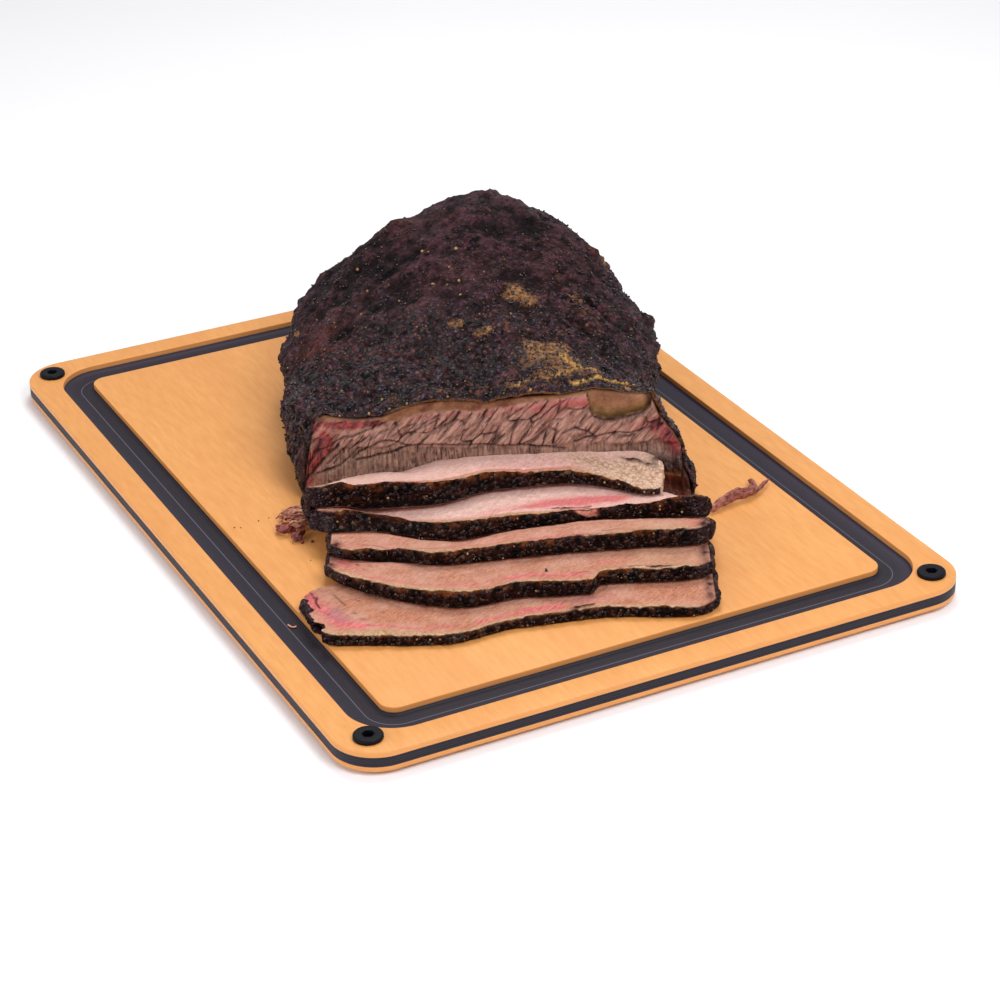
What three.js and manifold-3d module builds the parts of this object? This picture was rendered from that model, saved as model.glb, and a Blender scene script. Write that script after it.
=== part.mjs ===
// Smoked beef brisket, partly sliced, lying on a two-tone carving board with a juice groove and
// four rubber feet. Millimetres, +Z up. The origin is on the table under the middle of the board,
// +X runs along the board's short front edge and +Y towards its back.
import * as THREE from 'three';
import { mergeVertices } from 'three/addons/utils/BufferGeometryUtils.js';
import Module from 'manifold-3d';

const wasm = await Module();
wasm.setup();

// Board: three pressed fibre sheets, tan over dark over tan.
const BOARD = { width: 330, length: 457, cornerRadius: 22.5 };
const TAN_SHEET = 2.75;
const DARK_SHEET = 5;
const GROOVE = {
  inset: 14.5, width: 16.75, depth: 4.625, outerRadius: 24.5, innerRadius: 8, dish: 4, dishSteps: 3,
};
const ARC_STEPS = 6;

// Feet: rubber grommets pressed through the corners.
const FOOT = {
  inset: 15, flangeRadius: 7, shankRadius: 4.8, holeRadius: 5, soft: 0.9, below: 2, above: 2.25,
};
const FOOT_SOCKET = { radius: 2.9, depth: 5 };
const FOOT_SIDES = 16;

const BASE_BOTTOM = FOOT.below;
const CORE_BOTTOM = BASE_BOTTOM + TAN_SHEET;
const TOP_BOTTOM = CORE_BOTTOM + DARK_SHEET;
const BOARD_TOP = TOP_BOTTOM + TAN_SHEET;

// Meat: its own frame is turned on the board. s runs along the slices, d away from the cut side
// towards the uncut end, and h up from the board.
const MEAT_TURN = THREE.MathUtils.degToRad(-27);
const CLEARANCE = 0.3;

// Uncut piece, from evenly spaced stations between the cut face and the far end.
// waist is the share of the crown's height where the piece is widest, and the nose, from
// nose.from to the far end, closes down to nose.tip of the full width. The boxiness of a section
// is the power of its sine and cosine: small is boxy, 1 is round.
const BLOCK = {
  front: -32, back: 208, waist: 0.44, nose: { from: 0.7, power: 2.4, tip: 0.1, topPower: 0.8 },
  boxyUpTo: 0.4, boxyTop: [0.6, 1.2], boxySide: [0.15, 0.4], boxyUnder: 0.6, underDepth: 1.12,
  rings: 28, sides: 44,
};
const BLOCK_LEFT = [-79, -88, -92, -99, -90, -54, -24];
const BLOCK_RIGHT = [103, 103, 105, 106, 93, 82, 66];
const BLOCK_CROWN = [56, 61, 70, 77, 82, 88, 87];
const BLOCK_TILT = [0.055, 0.03, 0, -0.02, -0.03, -0.03, -0.02];
const BLOCK_FLARE_LEFT = [4, 3, 1, 0, 0, 0, 0];
const BLOCK_FLARE_RIGHT = [20, 13, 5, 0, 0, 0, 0];

// Slices, the one nearest the uncut piece first. Each bark edge is a spline of its d from the
// left end to the right, and bark its thickness there; rear is the thickness at the far side.
// prop is the height that a bent slice keeps under its bark edge and under its rear, left and
// right, leg the width of the part that is bent down to the board, and leftSkew how far the
// left end is set in at the bark.
const SLICES = [
  {
    left: -72, right: 102, leg: 6,
    edge: [-81, -77, -75.5, -70.5, -58, -54, -50.5, -56, -66],
    bark: [12.5, 12, 9.5, 7.5, 7], rear: [7, 8],
    prop: { bark: [20, 14], rear: [6.5, 21] },
  },
  {
    left: -72, right: 127, leg: 6, width: [39.5, 39.5, 38, 28],
    edge: [-85, -83, -88.5, -88.5, -83, -81, -79, -80, -88],
    bark: [13, 10.5, 7.5, 6, 9], rear: [6, 6],
    prop: { bark: [5, 12], rear: [4, 10] },
  },
  {
    left: -64, right: 129, width: [48, 50, 50],
    edge: [-110, -112, -127, -126, -123, -118.5, -116.5, -114, -115],
    bark: [6, 7, 8.5, 9, 10], rear: [4.7, 5],
  },
  {
    left: -65, right: 126, width: [50, 50, 50],
    edge: [-131, -143, -153, -156.5, -148.5, -145.5, -137, -136.5, -135.5],
    bark: [6, 8, 8.5, 7.5, 7.5], rear: [4.7, 5],
  },
  {
    left: -75, right: 124, leftSkew: 12, width: [53, 56, 56],
    edge: [-181, -180, -180.5, -179, -168, -162.5, -158, -159, -160],
    bark: [6.2, 4.8, 5.2, 5.6, 5.2], rear: [4.7, 5],
  },
];
const SLICE_COLUMNS = 24;
const END_ROUNDING = { share: 0.86, power: 9 };
const SLICE_GAP = 1.0;
const BRIDGE = { slope: 0.55, bend: 4 };

// Torn shreds lying beside the slices, as [s, d, h, radius] along the strand.
const SHREDS = {
  shred_right: [
    [131, -60, 2, 0.9], [137.5, -51, 2.6, 1.7], [145, -45, 3, 2.4],
    [152, -42, 2.8, 2.2], [158, -33, 2.2, 1],
  ],
  shred_left: [
    [-78.5, -52, 4, 2], [-81.5, -58, 5.6, 4.6], [-85, -67, 4.6, 4.4], [-91, -75, 2.4, 1.4],
  ],
};
const SHRED_STEPS = 10;
const SHRED_SIDES = 7;

const toSolid = (geometry) => {
  const plain = geometry.index ? geometry.toNonIndexed() : geometry.clone();
  plain.deleteAttribute('normal');
  plain.deleteAttribute('uv');
  const merged = mergeVertices(plain, 1e-4);
  return new wasm.Manifold(new wasm.Mesh({
    numProp: 3,
    vertProperties: new Float32Array(merged.attributes.position.array),
    triVerts: new Uint32Array(merged.index.array),
  }));
};

const toGeometry = (solid) => {
  const mesh = solid.getMesh();
  const geometry = new THREE.BufferGeometry();
  geometry.setAttribute('position', new THREE.BufferAttribute(new Float32Array(mesh.vertProperties), 3));
  geometry.setIndex(new THREE.BufferAttribute(new Uint32Array(mesh.triVerts), 1));
  return geometry;
};

// Closed mesh from rows of points: the rows are joined into a skin, and both ends are capped.
const loft = (rings) => {
  const count = rings[0].length;
  const positions = rings.flat().flatMap((p) => [p.x, p.y, p.z]);
  const indices = [];
  for (let i = 0; i < rings.length - 1; i += 1) {
    for (let j = 0; j < count; j += 1) {
      const a = i * count + j;
      const b = i * count + ((j + 1) % count);
      indices.push(a, a + count, b, b, a + count, b + count);
    }
  }
  const cap = (ring, offset, flip) => {
    const middle = ring.reduce((sum, p) => sum.add(p), new THREE.Vector3()).divideScalar(count);
    const centre = positions.length / 3;
    positions.push(middle.x, middle.y, middle.z);
    for (let j = 0; j < count; j += 1) {
      const a = offset + j;
      const b = offset + ((j + 1) % count);
      indices.push(...(flip ? [centre, b, a] : [centre, a, b]));
    }
  };
  cap(rings[0], 0, false);
  cap(rings[rings.length - 1], (rings.length - 1) * count, true);
  const geometry = new THREE.BufferGeometry();
  geometry.setAttribute('position', new THREE.BufferAttribute(new Float32Array(positions), 3));
  geometry.setIndex(indices);
  return geometry;
};

const addMesh = (group, name, geometry, material) => {
  const mesh = new THREE.Mesh(geometry, material);
  mesh.name = name;
  group.add(mesh);
  return mesh;
};

// ---- Board ----

const roundedOutline = (Kind, inset, radius) => {
  const x = BOARD.width / 2 - inset - radius;
  const y = BOARD.length / 2 - inset - radius;
  const outline = new Kind();
  [[x, y], [-x, y], [-x, -y], [x, -y]].forEach(([cx, cy], i) => {
    outline.absarc(cx, cy, radius, (i * Math.PI) / 2, ((i + 1) * Math.PI) / 2);
  });
  outline.closePath();
  return outline;
};

const footPlaces = () => {
  const x = BOARD.width / 2 - FOOT.inset;
  const y = BOARD.length / 2 - FOOT.inset;
  return [[-x, -y], [x, -y], [x, y], [-x, y]];
};

const footHoles = () => footPlaces().map(([x, y]) => {
  const hole = new THREE.Path();
  hole.absarc(x, y, FOOT.holeRadius, 0, Math.PI * 2);
  return hole;
});

const sheet = (outline, holes, bottom, thickness) => {
  outline.holes.push(...holes);
  const geometry = new THREE.ExtrudeGeometry(outline, {
    depth: thickness,
    bevelEnabled: false,
    curveSegments: ARC_STEPS,
  });
  return geometry.translate(0, 0, bottom);
};

const grooveInner = GROOVE.inset + GROOVE.width;

// The cutter's bevel makes the dished floor: the channel is full width at the top of the dark
// sheet and narrows by the dish on each side at its floor.
const grooveCutter = () => {
  const cut = GROOVE.depth - TAN_SHEET;
  const ring = roundedOutline(THREE.Shape, GROOVE.inset + GROOVE.dish, GROOVE.outerRadius - GROOVE.dish);
  ring.holes.push(roundedOutline(THREE.Path, grooveInner - GROOVE.dish, GROOVE.innerRadius + GROOVE.dish));
  const geometry = new THREE.ExtrudeGeometry(ring, {
    depth: 1,
    bevelEnabled: true,
    bevelThickness: cut,
    bevelSize: GROOVE.dish,
    bevelSegments: GROOVE.dishSteps,
    curveSegments: ARC_STEPS,
  });
  return geometry.translate(0, 0, TOP_BOTTOM);
};

const boardOutline = () => roundedOutline(THREE.Shape, 0, BOARD.cornerRadius);

const boardCore = () => {
  const slab = toSolid(sheet(boardOutline(), footHoles(), CORE_BOTTOM, DARK_SHEET));
  return toGeometry(slab.subtract(toSolid(grooveCutter())));
};

const boardRim = () => {
  const grooveOuter = roundedOutline(THREE.Path, GROOVE.inset, GROOVE.outerRadius);
  return sheet(boardOutline(), [grooveOuter, ...footHoles()], TOP_BOTTOM, TAN_SHEET);
};

const boardPanel = () => {
  const outline = roundedOutline(THREE.Shape, grooveInner, GROOVE.innerRadius);
  return sheet(outline, [], TOP_BOTTOM, TAN_SHEET);
};

// Turned profile with soft flange edges, and a hexagonal socket from the top.
const footGeometry = () => {
  const { flangeRadius: flange, shankRadius: shank, soft, below, above } = FOOT;
  const top = BOARD_TOP + above;
  const profile = [
    [0, 0], [flange - soft, 0], [flange, soft], [flange, below], [shank, below],
    [shank, BOARD_TOP], [flange, BOARD_TOP], [flange, top - soft], [flange - soft, top], [0, top],
  ].map(([r, z]) => new THREE.Vector2(r, z));
  const body = new THREE.LatheGeometry(profile, FOOT_SIDES).rotateX(Math.PI / 2);
  const socket = new THREE.CylinderGeometry(FOOT_SOCKET.radius, FOOT_SOCKET.radius, FOOT_SOCKET.depth * 2, 6);
  socket.rotateX(Math.PI / 2).translate(0, 0, top);
  return toGeometry(toSolid(body).subtract(toSolid(socket)));
};

// ---- Meat ----

const splineAt = (values, t) => {
  const points = values.map((v, i) => new THREE.Vector2(i, v));
  return new THREE.SplineCurve(points).getPoint(t).y;
};

// Gentle lumps of the crust, a few millimetres high.
const lumps = (s, d, h) => (
  1.3 * Math.sin(s / 15 + d / 31) * Math.sin(d / 19 + 1.1)
  + 0.9 * Math.sin(s / 8.5 - h / 13) * Math.cos(d / 10.5 + s / 27)
);

const signedPower = (value, power) => Math.sign(value) * Math.abs(value) ** power;

// One closed section of the uncut piece, t from 0 at the cut to 1 at the far end. It is boxy at
// the cut and rounder behind it, flat underneath, and its lower right side flares out.
const blockSection = (t) => {
  const d = THREE.MathUtils.lerp(BLOCK.front, BLOCK.back, t);
  const [left, right, crown, tilt] = [BLOCK_LEFT, BLOCK_RIGHT, BLOCK_CROWN, BLOCK_TILT]
    .map((values) => splineAt(values, t));
  const { from, power, tip } = BLOCK.nose;
  const closing = Math.max(0, (t - from) / (1 - from));
  const round = THREE.MathUtils.lerp(tip, 1, Math.sqrt(1 - closing ** power));
  const rounding = THREE.MathUtils.smoothstep(t, 0, BLOCK.boxyUpTo);
  const upperPower = THREE.MathUtils.lerp(...BLOCK.boxyTop, rounding);
  const lowerPower = THREE.MathUtils.lerp(...BLOCK.boxySide, rounding);
  const middle = (left + right) / 2;
  const half = ((right - left) / 2) * round;
  const waist = crown * BLOCK.waist;
  const ring = [];
  for (let j = 0; j < BLOCK.sides; j += 1) {
    const angle = (j / BLOCK.sides) * Math.PI * 2;
    const upper = Math.sin(angle) > 1e-9;
    const across = signedPower(Math.cos(angle), upper ? upperPower : lowerPower);
    const up = signedPower(Math.sin(angle), upper ? upperPower : BLOCK.boxyUnder);
    let s = middle + half * across;
    let h = waist * (1 + BLOCK.underDepth * up);
    if (upper) h = waist + (crown + tilt * s - waist) * round ** BLOCK.nose.topPower * up;
    const flare = splineAt(across > 0 ? BLOCK_FLARE_RIGHT : BLOCK_FLARE_LEFT, t);
    s += flare * across * (1 - h / crown);
    const bump = t > 0 ? lumps(s, d, h) : 0;
    s += 0.7 * bump * across;
    h += bump * Math.max(0, up);
    ring.push(new THREE.Vector3(s, d, Math.max(CLEARANCE, h)));
  }
  return ring;
};

const blockGeometry = () => {
  const rings = [];
  for (let i = 0; i <= BLOCK.rings; i += 1) rings.push(blockSection(i / BLOCK.rings));
  return loft(rings);
};

const shareAlong = (slice, s) => THREE.MathUtils.clamp((s - slice.left) / (slice.right - slice.left), 0, 1);

const barkEdge = (slice, s) => splineAt(slice.edge, shareAlong(slice, s));

// The slice next to the uncut piece reaches back to the cut face.
const sliceWidth = (slice, s) => (
  slice.width
    ? splineAt(slice.width, shareAlong(slice, s))
    : BLOCK.front - CLEARANCE - barkEdge(slice, s)
);

const backShare = (slice, s, d) => (
  THREE.MathUtils.clamp((d - barkEdge(slice, s)) / sliceWidth(slice, s), 0, 1)
);

// Cut by hand, each slice is thicker along its bark.
const thickness = (slice, s, d) => {
  const along = shareAlong(slice, s);
  return THREE.MathUtils.lerp(
    splineAt(slice.bark, along),
    THREE.MathUtils.lerp(...slice.rear, along),
    backShare(slice, s, d),
  );
};

// Where the slice in front ends behind, with the gap that keeps the two apart.
const rearInFront = (index, s) => {
  const inFront = SLICES[Math.min(index + 1, SLICES.length - 1)];
  return barkEdge(inFront, s) + sliceWidth(inFront, s) + SLICE_GAP;
};

// Height of the slice's lower face. It lies on the slice in front of it, and behind that one
// it comes down to the board on a slope, unless it is propped up by its own bent leg.
const lowerFace = (index, s, d) => {
  const slice = SLICES[index];
  let height = CLEARANCE;
  if (index < SLICES.length - 1) {
    const rear = rearInFront(index, s);
    const support = upperFace(index + 1, s, Math.min(d, rear)) + SLICE_GAP;
    const beyond = Math.max(0, d - rear);
    height = Math.max(height, support - BRIDGE.slope * (Math.hypot(beyond, BRIDGE.bend) - BRIDGE.bend));
  }
  if (slice.prop) {
    const along = shareAlong(slice, s);
    const atBark = THREE.MathUtils.lerp(...slice.prop.bark, along);
    const atRear = THREE.MathUtils.lerp(...slice.prop.rear, along);
    height = Math.max(height, THREE.MathUtils.lerp(atBark, atRear, backShare(slice, s, d)));
  }
  return height;
};

function upperFace(index, s, d) {
  return lowerFace(index, s, d) + thickness(SLICES[index], s, d);
}

// Columns run along the slice. Each is a closed ring over the upper face from the bark edge to
// the rear and back underneath, and both ends of the outline are rounded.
const sliceGeometry = (index) => {
  const slice = SLICES[index];
  const rings = [];
  for (let i = 0; i <= SLICE_COLUMNS; i += 1) {
    const u = (i / SLICE_COLUMNS) * 2 - 1;
    const eased = 0.7 * u + 0.3 * Math.sin((u * Math.PI) / 2);
    const s = THREE.MathUtils.lerp(slice.left, slice.right, (eased + 1) / 2);
    const width = sliceWidth(slice, s);
    const corner = 0.5 * (1 - Math.sqrt(1 - END_ROUNDING.share * Math.abs(eased) ** END_ROUNDING.power));
    const knee = slice.leg ? 1 - slice.leg / width : 1 - corner;
    const shareOf = (d, low, high) => THREE.MathUtils.clamp((d - barkEdge(slice, s)) / width, low, high);
    const bend = shareOf(rearInFront(index, s), corner + 0.2, knee - 0.12);
    const firstBend = shareOf(rearInFront(index + 1, s), corner + 0.07, bend - 0.14);
    const rows = [corner, firstBend, (firstBend + bend) / 2, bend, (bend + knee) / 2, knee];
    if (slice.leg) rows.splice(5, 1, knee - 0.03, knee, 1 - corner * 0.2);
    const upper = [];
    const lower = [];
    rows.forEach((row, k) => {
      const d = barkEdge(slice, s) + width * row;
      const onLeg = slice.leg && k >= rows.length - 2;
      const skewed = s + (slice.leftSkew ?? 0) * (1 - row) * (1 - shareAlong(slice, s)) ** 4;
      upper.push(new THREE.Vector3(skewed, d, upperFace(index, s, d)));
      lower.unshift(new THREE.Vector3(skewed, d, onLeg ? CLEARANCE : lowerFace(index, s, d)));
    });
    rings.push([...upper, ...lower]);
  }
  return loft(rings);
};

// A strand of meat, round in section, along a spline through its stations.
const shredGeometry = (stations) => {
  const path = new THREE.CatmullRomCurve3(stations.map(([s, d, h]) => new THREE.Vector3(s, d, h)));
  const radii = stations.map((station) => station[3]);
  const frames = path.computeFrenetFrames(SHRED_STEPS);
  const rings = [];
  for (let i = 0; i <= SHRED_STEPS; i += 1) {
    const centre = path.getPointAt(i / SHRED_STEPS);
    const radius = splineAt(radii, i / SHRED_STEPS);
    const ring = [];
    for (let j = 0; j < SHRED_SIDES; j += 1) {
      const angle = (j / SHRED_SIDES) * Math.PI * 2;
      ring.push(centre.clone()
        .addScaledVector(frames.normals[i], Math.cos(angle) * radius)
        .addScaledVector(frames.binormals[i], -Math.sin(angle) * radius));
    }
    ring.forEach((point) => { point.z = Math.max(CLEARANCE, point.z); });
    rings.push(ring);
  }
  return loft(rings);
};

// ---- Materials ----

const tan = new THREE.MeshStandardMaterial({ color: 0xe9a863, roughness: 0.55, metalness: 0 });
const dark = new THREE.MeshStandardMaterial({ color: 0x4a4450, roughness: 0.6, metalness: 0 });
const rubber = new THREE.MeshStandardMaterial({ color: 0x1c1c20, roughness: 0.7, metalness: 0 });
const bark = new THREE.MeshStandardMaterial({ color: 0x2e1f1e, roughness: 0.6, metalness: 0 });
const meat = new THREE.MeshStandardMaterial({ color: 0xb98074, roughness: 0.55, metalness: 0 });

// ---- The whole ----

const model = new THREE.Group();

addMesh(model, 'board_base', sheet(boardOutline(), footHoles(), BASE_BOTTOM, TAN_SHEET), tan);
addMesh(model, 'board_core', boardCore(), dark);
addMesh(model, 'board_rim', boardRim(), tan);
addMesh(model, 'board_panel', boardPanel(), tan);
footPlaces().forEach(([x, y], i) => {
  addMesh(model, `foot_${i + 1}`, footGeometry(), rubber).position.set(x, y, 0);
});

const meatGroup = new THREE.Group();
meatGroup.position.z = BOARD_TOP;
meatGroup.rotation.z = MEAT_TURN;
model.add(meatGroup);
addMesh(meatGroup, 'brisket_block', blockGeometry(), bark);
SLICES.forEach((slice, i) => {
  addMesh(meatGroup, `slice_${i + 1}`, sliceGeometry(i), meat);
});
Object.entries(SHREDS).forEach(([name, stations]) => {
  addMesh(meatGroup, name, shredGeometry(stations), meat);
});

export default model;
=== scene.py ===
import itertools
import math

import bpy
import numpy as np
from mathutils import Matrix, Vector


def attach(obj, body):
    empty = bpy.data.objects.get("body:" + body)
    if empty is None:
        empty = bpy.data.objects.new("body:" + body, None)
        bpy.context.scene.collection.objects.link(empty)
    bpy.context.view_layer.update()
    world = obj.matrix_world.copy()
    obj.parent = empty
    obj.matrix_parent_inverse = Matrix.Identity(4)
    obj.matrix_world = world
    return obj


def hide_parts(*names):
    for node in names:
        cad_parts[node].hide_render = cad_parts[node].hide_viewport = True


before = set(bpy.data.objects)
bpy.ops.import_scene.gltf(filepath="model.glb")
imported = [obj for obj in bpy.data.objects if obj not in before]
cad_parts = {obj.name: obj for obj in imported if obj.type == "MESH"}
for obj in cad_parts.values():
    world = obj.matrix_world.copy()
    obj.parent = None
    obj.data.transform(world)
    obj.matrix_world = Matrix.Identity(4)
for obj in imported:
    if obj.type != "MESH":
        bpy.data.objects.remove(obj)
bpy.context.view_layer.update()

# ---- Camera ----
# A long lens looks down on the board from its front left. All lengths in this file are in
# millimetres until a mesh is made.
MM = 0.001
LENS_AT = Vector((-561.6, -1186.3, 693.2)) * MM
LENS_AIM = Vector((17.1, -12.7, -5.5)) * MM
LENS_ROLL = math.radians(-1.471)

lens = bpy.data.cameras.new("lens")
lens.lens = 101.62
lens.sensor_width = 36
lens.clip_end = 20
camera = bpy.data.objects.new("camera", lens)
bpy.context.scene.collection.objects.link(camera)
turn = (LENS_AIM - LENS_AT).to_track_quat("-Z", "Y").to_matrix() @ Matrix.Rotation(LENS_ROLL, 3, "Z")
camera.matrix_world = Matrix.Translation(LENS_AT) @ turn.to_4x4()
bpy.context.scene.camera = camera

# ---- Table and studio light ----
# A plain white sweep of painted board under the piece, in a bright white room with three broad
# lamps: one above and behind, one in front and a weaker one low at the left.
TABLE_SIZE = 9000
TABLE_WHITE = "FCFCFC"
ROOM_WHITE = "F7F8FF"
ROOM_STRENGTH = 0.55
PAINT_CLOUD = 170
LAMPS = {
    "lamp_over": {"at": (300, 420, 1250), "size": 620, "power": 7.8, "colour": "FFFDF9"},
    "lamp_front": {"at": (140, -800, 860), "size": 620, "power": 6.6, "colour": "FBFBFF"},
    "lamp_left": {"at": (-1150, -200, 480), "size": 560, "power": 4.0, "colour": "FFFFFF"},
}


def colour(hex_code):
    """An sRGB hex colour as the linear colour that a shader wants."""
    parts = [int(hex_code[i:i + 2], 16) / 255 for i in (0, 2, 4)]
    return tuple(c / 12.92 if c <= 0.04045 else ((c + 0.055) / 1.055) ** 2.4 for c in parts) + (1,)


def scale_of(width):
    """The Scale that gives a pattern grains of that many millimetres."""
    return 1 / (width * MM)


def add_node(tree, kind, links=None, **settings):
    """One node with its settings. links gives each input a value or another node's output."""
    node = tree.nodes.new("ShaderNode" + kind)
    for name, value in settings.items():
        setattr(node, name, value)
    for name, value in (links or {}).items():
        if isinstance(value, bpy.types.NodeSocket):
            tree.links.new(value, node.inputs[name])
        else:
            node.inputs[name].default_value = value
    return node


def new_finish(name, **surface):
    """A material with its node tree, its surface shader and the place of every point on its piece."""
    material = bpy.data.materials.new(name)
    material.use_nodes = True
    tree = material.node_tree
    shader = tree.nodes["Principled BSDF"]
    for socket, value in surface.items():
        shader.inputs[socket.replace("_", " ")].default_value = value
    return material, tree, shader, add_node(tree, "TexCoord").outputs["Object"]


def feed(tree, shader, **inputs):
    """Links what drives each input of a finish's surface shader."""
    for socket, output in inputs.items():
        tree.links.new(output, shader.inputs[socket.replace("_", " ")])


def lay_over(tree, tone, coats):
    """Colours laid over one another. Each coat: what it follows, the two levels between which it
    comes in, how much of it shows at most, and its own colour."""
    for follows, low, high, most, over in coats:
        share = add_node(tree, "MapRange", {0: follows, 1: low, 2: high, 4: most}).outputs[0]
        under, over = (colour(c) if isinstance(c, str) else c for c in (tone, over))
        tone = add_node(tree, "Mix", {0: share, 6: under, 7: over}, data_type="RGBA").outputs[2]
    return tone


def make_piece(name, points, faces, material):
    """A smooth mesh object from points in millimetres."""
    mesh = bpy.data.meshes.new(name)
    mesh.from_pydata((np.asarray(points) * MM).tolist(), [], faces)
    mesh.materials.append(material)
    mesh.polygons.foreach_set("use_smooth", [True] * len(mesh.polygons))
    mesh.update()
    piece = bpy.data.objects.new(name, mesh)
    bpy.context.scene.collection.objects.link(piece)
    return piece


room = bpy.data.worlds.new("white_room")
room.use_nodes = True
background = room.node_tree.nodes["Background"]
background.inputs["Color"].default_value = colour(ROOM_WHITE)
background.inputs["Strength"].default_value = ROOM_STRENGTH
bpy.context.scene.world = room
bpy.context.scene.view_settings.view_transform = "Standard"

for lamp_name, lamp in LAMPS.items():
    light = bpy.data.lights.new(lamp_name, "AREA")
    light.shape = "DISK"
    light.size = lamp["size"] * MM
    light.energy = lamp["power"]
    light.color = colour(lamp["colour"])[:3]
    holder = bpy.data.objects.new(lamp_name, light)
    bpy.context.scene.collection.objects.link(holder)
    at = Vector(lamp["at"]) * MM
    holder.matrix_world = Matrix.Translation(at) @ (-at).to_track_quat("-Z", "Y").to_matrix().to_4x4()

# Painted board: matt, with a faint unevenness in its paint.
table_paint, tree, shader, place = new_finish("matt_white_paint", Roughness=0.9)
clouds = add_node(tree, "TexNoise", {"Vector": place, "Scale": scale_of(PAINT_CLOUD), "Detail": 2}).outputs[0]
feed(tree, shader, Base_Color=lay_over(tree, "FAFAFB", [(clouds, 0, 1, 1, TABLE_WHITE)]))
half = TABLE_SIZE / 2
table = make_piece("table", [(-half, -half, 0), (half, -half, 0), (half, half, 0), (-half, half, 0)],
                   [(0, 1, 2, 3)], table_paint)

# ---- Carving board: three bonded sheets ----
# Wood fibre pressed with resin into stiff sheets, tan over near black over tan, bonded and then
# routed: the groove goes through the top tan sheet and dishes into the dark one.
BOARD_WIDTH, BOARD_LENGTH, BOARD_CORNER = 330, 457, 22.5
BASE_LOW, CORE_LOW, TOP_LOW, BOARD_TOP = 2, 4.75, 9.75, 12.5
SANDED_EDGE, ARRIS, SHARP_EDGE = 0.9, 0.45, 0.05
CREASE_ANGLE = math.radians(50)
FACING_UP = (0.35, 0.8)
GROOVE_OUT, GROOVE_WIDTH = 14.5, 16.75
GROOVE_OUT_RADIUS, GROOVE_IN_RADIUS = 24.5, 8
GROOVE_FLOOR = BOARD_TOP - 4.625
GROOVE_DISH = 4
GROOVE_FALL = 0.2
GROOVE_LINE = GROOVE_OUT + 0.57 * GROOVE_WIDTH
FOOT_INSET = 15
FOOT_HOLE = 5
CORNER_STEPS, ROUND_STEPS, GROOVE_STEPS, DRILL_SIDES = 20, 5, 29, 32
FIBRE_WIDTH, FIBRE_LENGTH, FIBRE_CLOUD = 2.4, 15, 22
LAYER_LENGTH, LAYER_HEIGHT = 25, 0.42
DARK_SPECK, TOOL_MARK, SIDE_LAYER = 1.1, 0.53, 0.6


def rounded_outline(inset, radius):
    """Corner points of the board's outline, moved in by inset, with corners of that radius."""
    angles = np.linspace(0, math.pi / 2, CORNER_STEPS + 1)
    x = BOARD_WIDTH / 2 - inset - radius
    y = BOARD_LENGTH / 2 - inset - radius
    corners = []
    for i, (cx, cy) in enumerate([(x, y), (-x, y), (-x, -y), (x, -y)]):
        bow = angles + i * math.pi / 2
        corners.append(np.stack([cx + radius * np.cos(bow), cy + radius * np.sin(bow)], 1))
    return np.concatenate(corners)


def at_height(outline, z):
    """An outline laid flat at a height."""
    return np.column_stack([outline, np.full(len(outline), z)])


def stack_faces(rings, count, shut=False):
    """Quads between following rings of points, and back to the first one if shut."""
    steps = np.arange(count)
    after = (steps + 1) % count
    faces = []
    for i in range(rings if shut else rings - 1):
        a = i * count
        b = ((i + 1) % rings) * count
        faces += np.stack([a + steps, a + after, b + after, b + steps], 1).tolist()
    return faces


def rounded_slab(low, high, inset, radius, low_edge, high_edge):
    """Rings up the side of a sheet whose lower and upper edges are rounded by those radii."""
    rings = []
    for height, edge, first in ((low, low_edge, -math.pi / 2), (high, high_edge, 0)):
        middle = height + edge if height == low else height - edge
        for bow in np.linspace(first, first + math.pi / 2, ROUND_STEPS):
            setback = inset + edge * (1 - math.cos(bow))
            outline = rounded_outline(setback, radius + inset - setback)
            rings.append(at_height(outline, middle + edge * math.sin(bow)))
    return rings


def sheet_piece(name, rings, material, shut=False):
    """A sheet from rings of points: a plate with its two faces, or a frame when shut."""
    count = len(rings[0])
    faces = stack_faces(len(rings), count, shut)
    if not shut:
        last = (len(rings) - 1) * count
        faces.append(list(range(count))[::-1])
        faces.append(list(range(last, last + count)))
    piece = make_piece(name, np.concatenate(rings), faces, material)
    piece.data.set_sharp_from_angle(angle=CREASE_ANGLE)
    return piece


def drill(piece, tool):
    """Cuts the foot holes out of a sheet."""
    cut = piece.modifiers.new("foot_holes", "BOOLEAN")
    cut.operation = "DIFFERENCE"
    cut.object = tool
    cut.solver = "EXACT"
    drilled = bpy.data.meshes.new_from_object(piece.evaluated_get(bpy.context.evaluated_depsgraph_get()))
    piece.modifiers.clear()
    piece.data = drilled
    piece.data.set_sharp_from_angle(angle=CREASE_ANGLE)


def foot_places():
    """The middles of the four feet."""
    x = BOARD_WIDTH / 2 - FOOT_INSET
    y = BOARD_LENGTH / 2 - FOOT_INSET
    return [(-x, -y), (x, -y), (x, y), (-x, y)]


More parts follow.
